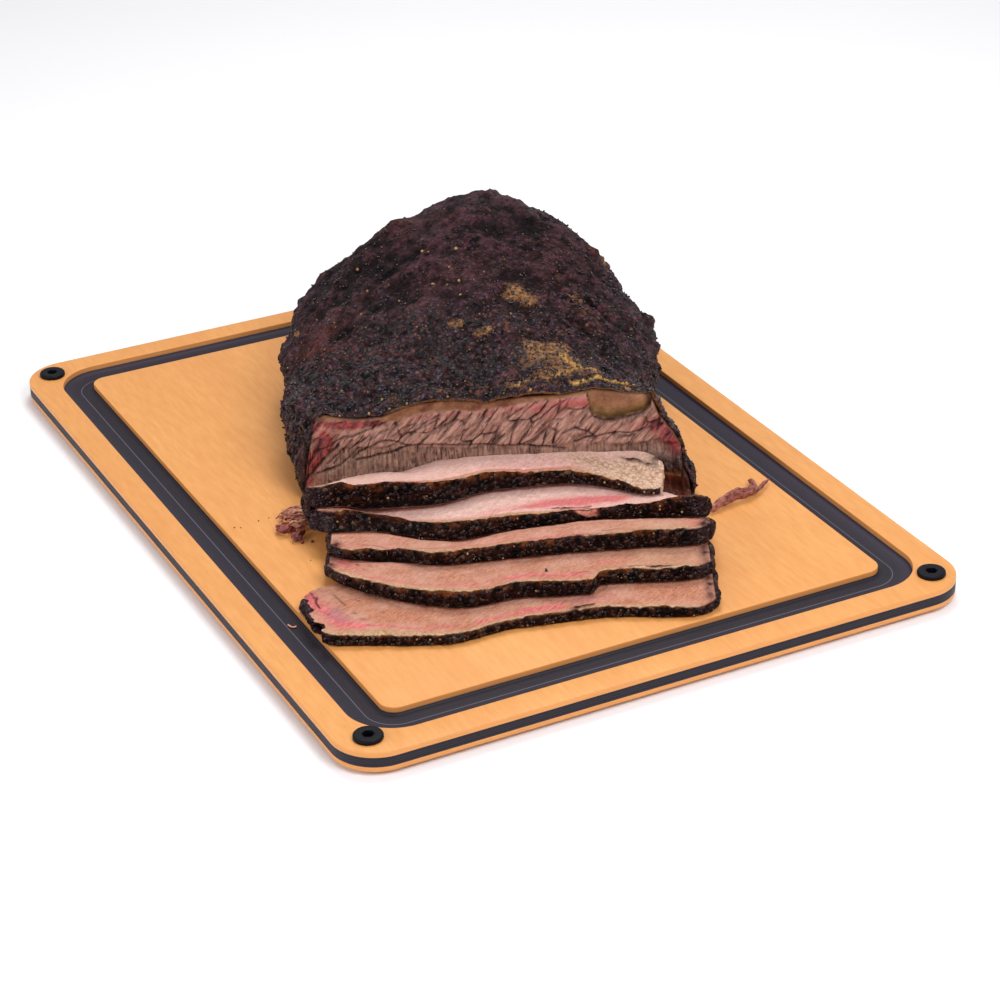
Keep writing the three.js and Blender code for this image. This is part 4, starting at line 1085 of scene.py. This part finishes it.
def under_face(number, s, d):
    """Height of a slice's underside, which lies on the slice in front and bends down behind it."""
    height = np.full(np.broadcast(s, d).shape, CLEARANCE)
    if number < len(CUT_SLICES) - 1:
        rear = edge_of(number + 1, s) + width_of(number + 1, s) + SLICE_GAP
        held = upper_face(number + 1, s, np.minimum(d, rear)) + SLICE_GAP
        beyond = np.maximum(0, d - rear)
        height = np.maximum(height, held - BRIDGE_SLOPE * (np.hypot(beyond, BRIDGE_BEND) - BRIDGE_BEND))
    if "prop" in CUT_SLICES[number]:
        at_crust, at_rear = (spline_at(heights, share_along(number, s))
                             for heights in CUT_SLICES[number]["prop"])
        height = np.maximum(height, at_crust + (at_rear - at_crust) * back_share(number, s, d))
    return height


def upper_face(number, s, d):
    """Height of a slice's upper face."""
    return under_face(number, s, d) + slice_thickness(number, s, d)


def sideways(number, s, d, share, seed):
    """How far a slice's slanting or torn left end moves its points sideways."""
    slice_shape = CUT_SLICES[number]
    shift = slice_shape.get("skew", 0) * (1 - share) * (1 - share_along(number, s)) ** 4
    if "torn" in slice_shape:
        along_end = np.column_stack([0 * d.ravel(), d.ravel(), 0 * d.ravel()])
        ragged_by = crumbly_noise(along_end, 9, seed + 11).reshape(d.shape)
        shift = shift + slice_shape["torn"] * ragged_by * np.clip(1 - (s - slice_shape["ends"][0]) / 16, 0, 1)
    return shift


def over_slice(face_values, edge_values=0, left_value=0, right_value=0):
    """Values on a whole slice: its face, its hidden underside, its crust edge and both ends."""
    grid = np.zeros((SLICE_COLUMNS, FACE_STEPS + REAR_STEPS + UNDER_STEPS + EDGE_STEPS))
    grid[:, :FACE_STEPS] = np.reshape(face_values, (SLICE_COLUMNS, FACE_STEPS))
    grid[:, -EDGE_STEPS:] = edge_values
    at_end = END_STEPS * grid.shape[1]
    return np.concatenate([np.full(at_end, left_value), grid.ravel(), np.full(at_end, right_value)])


# Slice: tender lean, pale and moist, with fibres across it; the crust edge is melted rub, amber
# where fat shows through it and black below, wet enough to glint. The lean of the slices next to
# the uncut piece is painted paler still, as painted light.
sliced_meat, tree, shader, place = new_finish("sliced_smoked_meat", Roughness=0.5, Specular_IOR_Level=0.08,
                                              Coat_Roughness=0.12)
marks = {name: add_node(tree, "Attribute", attribute_name=name).outputs["Fac"]
         for name in ("fat", "smoke", "dark", "grey", "edge", "glaze", "shade", "pale", "dry")}
turned = add_node(tree, "Mapping", {"Vector": place, "Rotation": (0, 0, -MEAT_TURN - NAP_TURN)}).outputs[0]
across = add_node(tree, "Mapping", {"Vector": turned, "Scale": (NAP_WIDTH / NAP_LENGTH, 1, 1)}).outputs[0]
fibre, fine, cloud, glazing = (
    add_node(tree, "TexNoise", {"Vector": run, "Scale": scale_of(width), "Detail": 4,
                                "Roughness": crispness}).outputs[0]
    for run, width, crispness in ((across, NAP_WIDTH, 0.68), (place, MOIST_SPOT, 0.7),
                                  (place, SLICE_CLOUD, 0.55), (place, GLAZE_PATCH, 0.6)))
crumb = add_node(tree, "TexVoronoi", {"Vector": place, "Scale": scale_of(RUB_GRAIN)})
crumb_value = add_node(tree, "SeparateXYZ", {0: crumb.outputs[1]}).outputs[0]
grainy = add_node(tree, "Mix", {0: 0.55, 2: fibre, 3: fine}).outputs[0]
smoky = add_node(tree, "MapRange", {0: fibre, 1: 0.3, 2: 0.55, 3: 0.6}).outputs[0]
smoky = add_node(tree, "Math", {0: smoky, 1: marks["smoke"]}, operation="MULTIPLY").outputs[0]
waxy = add_node(tree, "Math", {0: crumb.outputs[0], 1: -0.5, 2: fine}, operation="MULTIPLY_ADD").outputs[0]
# Painted light: a paler lean for the slices that are painted lighter.
lit_lean = lay_over(tree, "DEA494", [(grainy, 0.4, 0.6, 1, "FFDED2")])
smoke_tone = lay_over(tree, "C04850", [(fibre, 0.34, 0.62, 1, "F08A88")])
pale_fat = lay_over(tree, "AE7A58", [(waxy, 0, 0.42, 1, "E8C8AC")])
fat_tone = lay_over(tree, "B08052", [(waxy, 0, 0.42, 1, "DDB890"), (marks["pale"], 0, 1, 1, pale_fat)])
brown = lay_over(tree, "280B05", [(fine, 0, 1, 1, "60260E")])
amber = lay_over(tree, "2A0E05", [(glazing, 0.44, 0.62, 0.9, "7C3E16")])
dry_tone = lay_over(tree, "100709", [(fine, 0.42, 0.6, 1, "452E31")])
bit_tone = lay_over(tree, "140809", [(fine, 0.4, 0.62, 1, "4E2A22")])
edge_tone = lay_over(tree, "030101", [
    (crumb_value, 0.55, 0.85, 1, "200905"),
    (glazing, 0.44, 0.62, 0.405, brown),
    (marks["glaze"], 0, 1, 1, amber),
    (marks["shade"], 0, 1, 0.85, "040101"),
    (marks["dry"], 0, 1, 1, dry_tone),
    (crumb_value, 0.03, 0.015, 0.4, "8E7058"),
])
tone = lay_over(tree, "AA6A50", [
    (grainy, 0.4, 0.6, 1, "E09C7C"),
    (marks["pale"], 0, 1, 1, lit_lean),
    (cloud, 0.42, 0.7, 0.4, "E8BCA8"),
    (marks["shade"], 0, 1, 0.28, "84604E"),
    (smoky, 0, 1, 1, smoke_tone),
    (fine, 0.56, 0.66, 0.4, "96604C"),
    (marks["fat"], 0, 1, 1, fat_tone),
    (marks["grey"], 0, 1, 1, "A27E80"),
    (marks["edge"], 0, 1, 1, edge_tone),
    (marks["dark"], 0, 1, 1, bit_tone),
])
edge_wet = add_node(tree, "MapRange", {0: crumb_value, 1: 0.66, 2: 0.74, 4: 0.6}).outputs[0]
fat_wet = add_node(tree, "Math", {0: marks["fat"], 1: 0.7, 2: 0.1}, operation="MULTIPLY_ADD").outputs[0]
face_height, edge_height = (
    add_node(tree, "Math", {0: grit_of, 1: height, 2: fine}, operation="MULTIPLY_ADD").outputs[0]
    for grit_of, height in ((fibre, 0.5), (crumb.outputs[0], -2.6)))
wet, surface = (add_node(tree, "Mix", {0: marks["edge"], 2: on_face, 3: on_edge}).outputs[0]
                for on_face, on_edge in ((fat_wet, edge_wet), (face_height, edge_height)))
grain = add_node(tree, "Bump", {"Height": surface, "Strength": 0.85, "Distance": 0.001}).outputs[0]
feed(tree, shader, Base_Color=tone, Coat_Weight=wet, Normal=grain, Coat_Normal=grain)

# Each slice is a row of closed sections from its left end to its right end: over its face, down its
# rear edge, back underneath and up its crust edge. Its corners are rounded in plan.
u = np.linspace(-1, 1, SLICE_COLUMNS)
u = 0.85 * u + 0.15 * np.sin(u * math.pi / 2)
crust_corner = 0.5 * (1 - np.sqrt(1 - 0.5 * np.abs(u) ** 16))[:, None]
rear_corner = 0.5 * (1 - np.sqrt(1 - 0.86 * np.abs(u) ** 9))[:, None]
low_rows = np.linspace(1, 0, UNDER_STEPS)
share, low_share = (crust_corner + (1 - crust_corner - rear_corner) * rows
                    for rows in (np.linspace(0, 1, FACE_STEPS) ** 1.15, low_rows))
down = np.linspace(0, 1, EDGE_STEPS + 2)[1:-1]
rear_steps = np.linspace(0, 1, REAR_STEPS + 2)[1:-1][None, :, None]

wall_places, wall_outs = [], []
for number, slice_shape in enumerate(CUT_SLICES):
    seed = SLICE_SEEDS + SEEDS_EACH * number
    low_end, high_end = slice_shape["ends"]
    s_line = low_end + (high_end - low_end) * (u + 1) / 2
    s = np.repeat(s_line[:, None], FACE_STEPS, 1)
    edge_d = edge_of(number, s)
    d = edge_d + width_of(number, s) * share
    skew = sideways(number, s, d, share, seed)
    top = upper_face(number, s, d)
    flat = np.column_stack([s.ravel(), d.ravel(), top.ravel()])
    spot = np.column_stack([s.ravel(), (d - edge_d).ravel()])
    greasy = np.clip(spots(spot, FAT_PATCHES[number]), 0, 1)
    bits = np.clip(spots(spot, DARK_BITS[number]), 0, 1)
    relief = (0.35 * crumbly_noise(flat, 12, seed) + 0.22 * crumbly_noise(flat, 2.4, seed + 3, 2)
              + greasy * (0.7 * pebbles(flat, 1.7, seed + 2) - 0.2) + 1.3 * bits * pebbles(flat, 3, seed + 4))
    upper = np.stack([s + skew, d, top + relief.reshape(top.shape)], 2)
    nibble = 0.8 * crumbly_noise(np.column_stack([s_line, 0 * s_line, 0 * s_line]), 7, seed + 5)
    upper[:, :, 1] += nibble[:, None] * np.exp(-(d - edge_d) / 3)

    low_s = np.repeat(s_line[:, None], UNDER_STEPS, 1)
    low_d = edge_of(number, low_s) + width_of(number, low_s) * low_share
    if "lean" in slice_shape:
        lean = spline_at(slice_shape["lean"], share_along(number, s_line))
        low_d -= lean[:, None] * np.clip(1 - 3 * low_rows, 0, 1)
    low_skew = sideways(number, low_s, low_d, low_share, seed)
    under = np.stack([low_s + low_skew, low_d, under_face(number, low_s, low_d)], 2)

    rear = upper[:, -1:] * (1 - rear_steps) + under[:, :1] * rear_steps
    rear[:, :, 1] += 0.6 * np.sin(np.pi * rear_steps[:, :, 0])
    edge = under[:, -1:] * (1 - down[None, :, None]) + upper[:, :1] * down[None, :, None]
    wall = edge.reshape(-1, 3)
    lumps = pebbles(wall + 0.8 * grain_noise(wall, 3, seed + 8)[:, None], 3.6, seed + 9)
    roughness = 0.9 * crumbly_noise(wall, 7, seed + 6) + 0.9 * lumps + 0.5 * pebbles(wall, 1.9, seed + 10)
    edge[:, :, 1] -= np.sin(np.pi * down) ** 0.6 * (0.4 + roughness.reshape(SLICE_COLUMNS, EDGE_STEPS))
    body = np.concatenate([upper, rear, under, edge], 1)
    wall_places.append(edge[3:-3, 2:-1].reshape(-1, 3))
    wall_outs.append(np.tile((0, -0.97, 0.24), (len(wall_places[-1]), 1)))

    # Both ends close in quarter rounds.
    end_rings = {"left": [], "right": []}
    for quarter in np.linspace(0, math.pi / 2, END_STEPS + 1)[1:]:
        for side_name, at, skirt, sign in (("left", 0, slice_shape["skirt"], -1),
                                           ("right", -1, slice_shape["right_skirt"], 1)):
            end = body[at]
            ring = end.copy()
            depth = (end[:, 1] - end[:, 1].min()) / (np.ptp(end[:, 1]) + 1e-9)
            out = skirt[1] + (skirt[0] - skirt[1]) * depth
            ring[:, 0] += sign * out * math.sin(quarter) * (1 + 0.35 * crumbly_noise(end, 6, seed + 12))
            plan_middle = (end[:, 1].min() + end[:, 1].max()) / 2
            draw_in = min(0.5, 5 / np.ptp(end[:, 1])) * (1 - math.cos(quarter)) * 2
            ring[:, 1] = plan_middle + (ring[:, 1] - plan_middle) * (1 - draw_in)
            floor = np.interp(end[:, 1], under[at, ::-1, 1], under[at, ::-1, 2])
            ceiling = np.interp(end[:, 1], upper[at, :, 1], upper[at, :, 2])
            lift = np.clip((end[:, 2] - floor) / (ceiling - floor), 0, 1)
            if sign < 0:
                floor = floor + slice_shape.get("hangs", 0) * (CLEARANCE - floor) * min(1, quarter * 2.2)
            middle = (ceiling + floor) / 2
            ring[:, 2] = middle + (floor + lift * (ceiling - floor) - middle) * math.cos(quarter) ** 0.6
            ring[:, 2] += 0.8 * crumbly_noise(ring, 5, seed + 13) * math.sin(quarter)
            ring[:, 2] = np.maximum(CLEARANCE, ring[:, 2])
            end_rings[side_name].append(ring)
    slice_rings = np.concatenate([end_rings["left"][::-1], body, end_rings["right"]])
    meat_slice = sheet_piece(f"brisket_slice_{number + 1}", [on_board(ring) for ring in slice_rings],
                             sliced_meat)

    # What shows where on the face and on the crust edge.
    spot[:, 0] += skew.ravel()
    wavy = spot.copy()
    wavy[:, 1] += 0.8 * grain_noise(flat, 9, seed + 14) + 0.35 * grain_noise(flat, 2.5, seed + 15)
    fatty = spots(wavy, FAT_PATCHES[number])
    fat = 0.85 * (1 - eased(wavy[:, 1], 1.6, 3.2)) + fatty
    fatty = np.clip(fatty, 0, 1)
    smoke = strokes(wavy, SMOKE_LINES[number]) + spots(wavy, PINK_PATCHES[number])
    dark = spots(wavy, DARK_BITS[number]) * (1 + 0.5 * grain_noise(flat, 2.5, seed + 18))
    dark += strokes(wavy, DARK_SLITS[number])
    crumbling = 1 - eased(spot[:, 1] + 0.7 * grain_noise(flat, 2.2, seed + 16), 0.2, 0.9)
    shade = eased(spot[:, 1], 24, 44)
    amber_line = 0.8 + 0.26 * crumbly_noise(wall, 9, seed + 17).reshape(SLICE_COLUMNS, EDGE_STEPS)
    glaze = 0.9 * eased(down, amber_line, amber_line + 0.25)
    end_reach = np.minimum(s_line - low_end, high_end - s_line)
    dry = (1 - eased(end_reach, 2, 12))[:, None] * (0.9 + 0.2 * glaze)
    flap_share = 0
    if "flap" in slice_shape:
        flap_at, flap_reach = slice_shape["flap"]
        hanging = np.exp(-((s_line[:, None] - flap_at - 8 * (0.6 - down)) / flap_reach) ** 2)
        flap_share = eased(hanging * (0.4 + down) + 0.1 * lumps.reshape(hanging.shape), 0.75, 0.95)
    right_fat = 1 if slice_shape.get("fat_end") else 0
    pale = PALENESS_AND_LIGHT[number] * (1 - (1 - eased(spot[:, 1], 2.5, 5)) * (1 - fatty))
    pale *= 1 - (1 - right_fat) * fatty
    slice_marks = {
        "fat": (fat * (1 - crumbling), 0, 0, right_fat),
        "smoke": (smoke, 0.5 * flap_share),
        "dark": (dark,),
        "grey": (spots(spot, GREY_PATCHES[number]),),
        "edge": (crumbling, 1 - flap_share, 1, 1 - right_fat),
        "glaze": (crumbling, glaze, 0.15, 0.15),
        "shade": (shade * (1 - crumbling), 1 - eased(down, 0.05, 0.4)),
        "pale": (pale, 0, 0, right_fat),
        "dry": (0 * shade, dry, 1, 1),
    }
    mark(meat_slice, **{name: over_slice(*values) for name, values in slice_marks.items()})
    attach(meat_slice, "root")
    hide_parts(f"slice_{number + 1}")

# ---- Torn shreds ----
# Two tufts of meat pulled off while slicing, lying beside the slices: bundles of moist fibres,
# twisted together at the root and fraying at the tip. A single pale thread lies in the groove.
SHRED_SEED = 71
# Each strand: the points its fibres follow, how far they spread there, how many they are, their
# thickness, how pale they are inside and how much they twist.
SHREDS = {
    "shred_right": [
        ([(128, -57, 2.5), (135, -50, 4), (141, -45, 4.6), (148, -41.5, 4.2), (152, -35, 3.2)],
         (1.6, 2.6, 3.4, 3.0, 1.4), 26, (0.8, 1.4), 0.35, 2.6),
        ([(146, -43, 4), (152, -37, 4.2), (151.5, -31, 3.6), (149.5, -25, 2.6)],
         (1.6, 1.8, 1.5, 1.2), 9, (0.6, 1.1), 0.3, 2),
        ([(148, -42, 4), (154, -35, 3), (160, -24, 2)], (1.5, 1.4, 0.8), 6, (0.4, 0.8), 0.3, 1.5),
    ],
    "shred_left": [
        ([(-74, -63, 7), (-79, -61, 6.5), (-84, -57, 4), (-88, -53, 2)],
         (3, 5, 5, 4), 42, (0.3, 0.6), 1.1, 1.8),
        ([(-74, -66, 5), (-79, -67, 5), (-83, -69, 3.4)], (3, 4.6, 4), 30, (0.3, 0.6), 1.0, 1.8),
        ([(-80, -67, 2.6), (-86, -71, 3.2), (-91, -66, 2.6)], (1.2, 1.9, 1.3), 10, (0.8, 1.3), 0.05, 2),
        ([(-77, -71, 2.6), (-79.5, -76, 2.8), (-80, -79, 2)], (1.1, 1.7, 1.2), 9, (0.8, 1.2), 0.1, 2),
    ],
}
GROOVE_FIBRE = [(-79.7, -152.1, -3.9), (-77.6, -154.3, -4), (-75.5, -153.9, -3.9)]
GROOVE_FIBRE_RADIUS = 0.45
FIBRE_RINGS, FIBRE_SIDES = 46, 7
FLECK_WIDTH = 2.4

# Pulled meat: dark smoky red outside, pale pink and tan where the fibres have parted.
pulled_meat, tree, shader, place = new_finish("pulled_meat", Roughness=0.45, Specular_IOR_Level=0.3,
                                              Coat_Weight=0.3, Coat_Roughness=0.2)
inner_mark = add_node(tree, "Attribute", attribute_name="inner").outputs["Fac"]
fleck = add_node(tree, "TexNoise", {"Vector": place, "Scale": scale_of(FLECK_WIDTH), "Detail": 4,
                                    "Roughness": 0.65}).outputs[0]
inner = lay_over(tree, "B4604C", [(fleck, 0.38, 0.62, 1, "E8B48E")])
tone = lay_over(tree, "3A1218", [(fleck, 0.38, 0.62, 1, "9A4244"), (inner_mark, 0, 1, 1, inner)])
grain = add_node(tree, "Bump", {"Height": fleck, "Strength": 0.6, "Distance": 0.0005}).outputs[0]
feed(tree, shader, Base_Color=tone, Normal=grain)


def tube_rings(path, radii, sides):
    """Rings of points round a path, one per path point."""
    heading = np.gradient(path, axis=0)
    heading /= np.linalg.norm(heading, axis=1, keepdims=True)
    side = np.cross(heading, (0.05, 0.03, 1))
    side /= np.linalg.norm(side, axis=1, keepdims=True)
    rise = np.cross(side, heading)
    around = np.linspace(0, 2 * math.pi, sides, endpoint=False)
    return [path[k] + radii[k] * (np.cos(around)[:, None] * side[k] + np.sin(around)[:, None] * rise[k])
            for k in range(len(path))]


def joined_tubes(name, tubes, material):
    """One piece out of many closed tubes."""
    points, faces, first = [], [], 0
    for rings in tubes:
        count = len(rings[0])
        last = first + (len(rings) - 1) * count
        faces += [[first + k for k in face] for face in stack_faces(len(rings), count)]
        faces.append([first + k for k in range(count)][::-1])
        faces.append([last + k for k in range(count)])
        points.append(np.concatenate(rings))
        first += len(rings) * count
    return make_piece(name, np.concatenate(points), faces, material)


def spine_of(path):
    """An evenly sampled smooth line through a few listed points."""
    share = np.linspace(0, 1, FIBRE_RINGS)
    return np.column_stack([spline_at(column, share) for column in np.array(path, float).T])


for shred_number, (name, strands) in enumerate(SHREDS.items()):
    rng = np.random.default_rng(SHRED_SEED + shred_number)
    share = np.linspace(0, 1, FIBRE_RINGS)
    tubes, inner_marks = [], []
    for path, spreads, fibres, (thin, stout), paleness, twisting in strands:
        spine = spine_of(path)
        spread = spline_at(spreads, share)
        tapering = 0.25 + 0.75 * np.sin(math.pi * np.clip(share, 0.04, 0.96)) ** 0.5
        for _ in range(fibres):
            bearing = rng.uniform(0, 2 * math.pi)
            out = math.sqrt(rng.uniform(0, 1))
            twist = rng.uniform(0.4, 1) * twisting
            start, stop = np.clip([rng.uniform(-0.15, 0.3), rng.uniform(0.7, 1.1)], 0, 1)
            own = start + (stop - start) * share
            turn_by = bearing + twist * own
            middle = np.column_stack([np.interp(own, share, spine[:, k]) for k in range(3)])
            reach = np.interp(own, share, spread) * out
            middle[:, 0] += reach * np.cos(turn_by)
            middle[:, 1] += 0.6 * reach * np.cos(turn_by)
            middle[:, 2] += 0.75 * reach * np.sin(turn_by)
            middle += (0.5 + 1.1 * paleness) * drift(middle + bearing * 9, 4, SHRED_SEED)
            thick = rng.uniform(thin, stout) * tapering
            thick *= 1 + 0.25 * grain_noise(middle, 2.2, SHRED_SEED + 4)
            middle[:, 2] = np.maximum(middle[:, 2], CLEARANCE + thick)
            tubes.append([on_board(ring) for ring in tube_rings(middle, thick, FIBRE_SIDES)])
            pale = rng.uniform(0.3, 1) * paleness
            inner_marks.append(np.repeat(np.clip(pale * (1.3 - 0.6 * own), 0, 1), FIBRE_SIDES))
    tuft = joined_tubes(name + "_tuft", tubes, pulled_meat)
    mark(tuft, inner=np.concatenate(inner_marks))
    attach(tuft, "root")
    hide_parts(name)

fibre_path = spine_of(GROOVE_FIBRE)
fibre_rings = tube_rings(fibre_path, np.full(FIBRE_RINGS, GROOVE_FIBRE_RADIUS), FIBRE_SIDES)
groove_fibre = joined_tubes("groove_fibre", [[on_board(ring) for ring in fibre_rings]], pulled_meat)
mark(groove_fibre, inner=np.ones(FIBRE_RINGS * FIBRE_SIDES))
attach(groove_fibre, "root")

# ---- Seeds, pepper and crumbs ----
# What was rubbed on the meat and has come loose: tan mustard seeds and black pepper stuck in the
# crust, a few grains on the faces, and dark crumbs on the board.
SEED_PLACES = [
    (-63, 69), (-51, 59), (-48, 78), (-37, 80), (-31, 67), (-13, 74), (-5, 70), (1, 73), (2, 61), (-4, 85),
    (-55, 114), (-1, 103), (4, 106), (-19, 106), (-44, -31), (-24, -31), (-33, -31), (-37, -20), (-4, -29),
    (33, -23), (46, -16), (53, -13), (61, -13), (74, -10), (38, -31),
]
GRAIN_SHAPE = [(0, 0, 1), (0.89, 0, 0.45), (0.28, 0.85, 0.45), (-0.72, 0.53, 0.45), (-0.72, -0.53, 0.45),
               (0.28, -0.85, 0.45), (0.72, 0.53, -0.45), (-0.28, 0.85, -0.45), (-0.89, 0, -0.45),
               (-0.28, -0.85, -0.45), (0.72, -0.53, -0.45), (0, 0, -1)]
GRAIN_FACES = [(0, 1, 2), (0, 2, 3), (0, 3, 4), (0, 4, 5), (0, 5, 1), (1, 6, 2), (2, 7, 3), (3, 8, 4),
               (4, 9, 5), (5, 10, 1), (2, 6, 7), (3, 7, 8), (4, 8, 9), (5, 9, 10), (1, 10, 6), (11, 7, 6),
               (11, 8, 7), (11, 9, 8), (11, 10, 9), (11, 6, 10)]
CRUMB_PLACES = [(-77.2, -79, 1.2), (-72.4, -78.1, 0.9), (-83.2, -41.5, 0.9), (-84.8, -44.3, 1.1),
                (-86.6, -47.4, 0.8), (-101, -55, 0.4), (-96, -52, 0.35), (-72, -97, 0.4),
                (-112.7, -61.6, 0.5), (-109.4, -61.8, 0.4)]
STUCK_SHARE = 0.25
SMALL_SEEDS, PEPPER_GRAINS, SEEDS_ON_SLICES, PEPPER_ON_SLICES = 420, 2300, 40, 280
TOAST_WIDTH, CRACK_WIDTH = 6.2, 3.3


def grains_piece(name, places, outs, sizes, material, seed):
    """Many small rounded grains, each with its own size and proportions, as one piece."""
    rng = np.random.default_rng(seed)
    shape = np.array(GRAIN_SHAPE)
    points, faces = [], []
    for k, (at, out, size) in enumerate(zip(places, outs, sizes)):
        own = shape * (1 + rng.uniform(-0.16, 0.16, (len(shape), 1))) * rng.uniform(0.75, 1.15, 3) * size
        points.append(on_board(at + out * size * (1 - 2 * STUCK_SHARE) + own))
        faces += [[len(shape) * k + corner for corner in face] for face in GRAIN_FACES]
    return make_piece(name, np.concatenate(points), faces, material)


# Where the loose grains stick: the listed places, and more at random, thicker near the cut and
# where mustard has caked.
in_sight = upper_side > 0.99
surface_points = shaped[in_sight]
surface_outs = outward[in_sight]
seed_rng = np.random.default_rng(83)
listed = [int(np.argmin(((surface_points[:, :2] - np.array(at)) ** 2).sum(1) - 0.02 * surface_points[:, 2]))
          for at in SEED_PLACES]
odds = np.exp(-np.clip(surface_points[:, 1] - CUT_AT, 0, None) / 60) + 0.25
odds *= 1 + 3 * np.clip(gold[in_sight], 0, 1)
odds /= odds.sum()
strewn = seed_rng.choice(len(surface_points), SMALL_SEEDS, replace=False, p=odds)
seed_sizes = [seed_rng.uniform(0.7, 1.05, len(listed)), seed_rng.uniform(0.22, 0.55, len(strewn))]
peppered = seed_rng.choice(len(surface_points), PEPPER_GRAINS, replace=False, p=odds)
wall_points, wall_outs = np.concatenate(wall_places), np.concatenate(wall_outs)
on_walls = seed_rng.choice(len(wall_points), SEEDS_ON_SLICES, replace=False)
pepper_on_walls = seed_rng.choice(len(wall_points), PEPPER_ON_SLICES, replace=False)
seeds_at = np.concatenate([surface_points[listed], surface_points[strewn], wall_points[on_walls]])
seeds_out = np.concatenate([surface_outs[listed], surface_outs[strewn], wall_outs[on_walls]])
seed_sizes = np.concatenate([*seed_sizes, seed_rng.uniform(0.35, 0.75, len(on_walls))])

# Mustard seed hulls: waxy tan to gold, toasted brown here and there.
seed_hull, tree, shader, place = new_finish("toasted_mustard_seed", Roughness=0.4, Specular_IOR_Level=0.4)
toast = add_node(tree, "TexNoise", {"Vector": place, "Scale": scale_of(TOAST_WIDTH), "Detail": 2,
                                    "Roughness": 0.5}).outputs[0]
feed(tree, shader, Base_Color=lay_over(tree, "5A3620", [(toast, 0.35, 0.62, 1, "AC8450")]))
seeds = grains_piece("mustard_seeds", seeds_at, seeds_out, seed_sizes, seed_hull, 84)
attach(seeds, "root")

# Cracked pepper: black, wet with fat, so that its facets glint.
pepper_skin, tree, shader, place = new_finish("cracked_black_pepper", Roughness=0.22, Specular_IOR_Level=0.7)
cracks = add_node(tree, "TexNoise", {"Vector": place, "Scale": scale_of(CRACK_WIDTH), "Detail": 2,
                                     "Roughness": 0.5}).outputs[0]
feed(tree, shader, Base_Color=lay_over(tree, "0C0709", [(cracks, 0, 1, 1, "2E2024")]))
face_grains = np.array([(at[0], at[1], float(upper_face(k, np.array(float(at[0])), np.array(float(at[1])))))
                        for k, at in FACE_GRAINS])
upward = np.array([(0, 0, 1)])
pepper_at = np.concatenate([surface_points[peppered], wall_points[pepper_on_walls], face_grains])
pepper_out = np.concatenate([surface_outs[peppered], wall_outs[pepper_on_walls],
                             np.repeat(upward, len(face_grains), 0)])
pepper_sizes = np.concatenate([seed_rng.uniform(0.3, 0.8, len(peppered)),
                               seed_rng.uniform(0.3, 0.7, len(pepper_on_walls)),
                               np.full(len(face_grains), 0.95)])
pepper_grains = grains_piece("pepper_grains", pepper_at, pepper_out, pepper_sizes, pepper_skin, 85)
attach(pepper_grains, "root")

# Crumbs: bits of broken crust on the board, of the same meat as the shreds.
crumb_at = np.array([(s, d, 0.0) for s, d, _ in CRUMB_PLACES])
crumbs = grains_piece("crust_crumbs", crumb_at, np.repeat(upward, len(crumb_at), 0),
                      [size for _, _, size in CRUMB_PLACES], pulled_meat, 86)
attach(crumbs, "root")
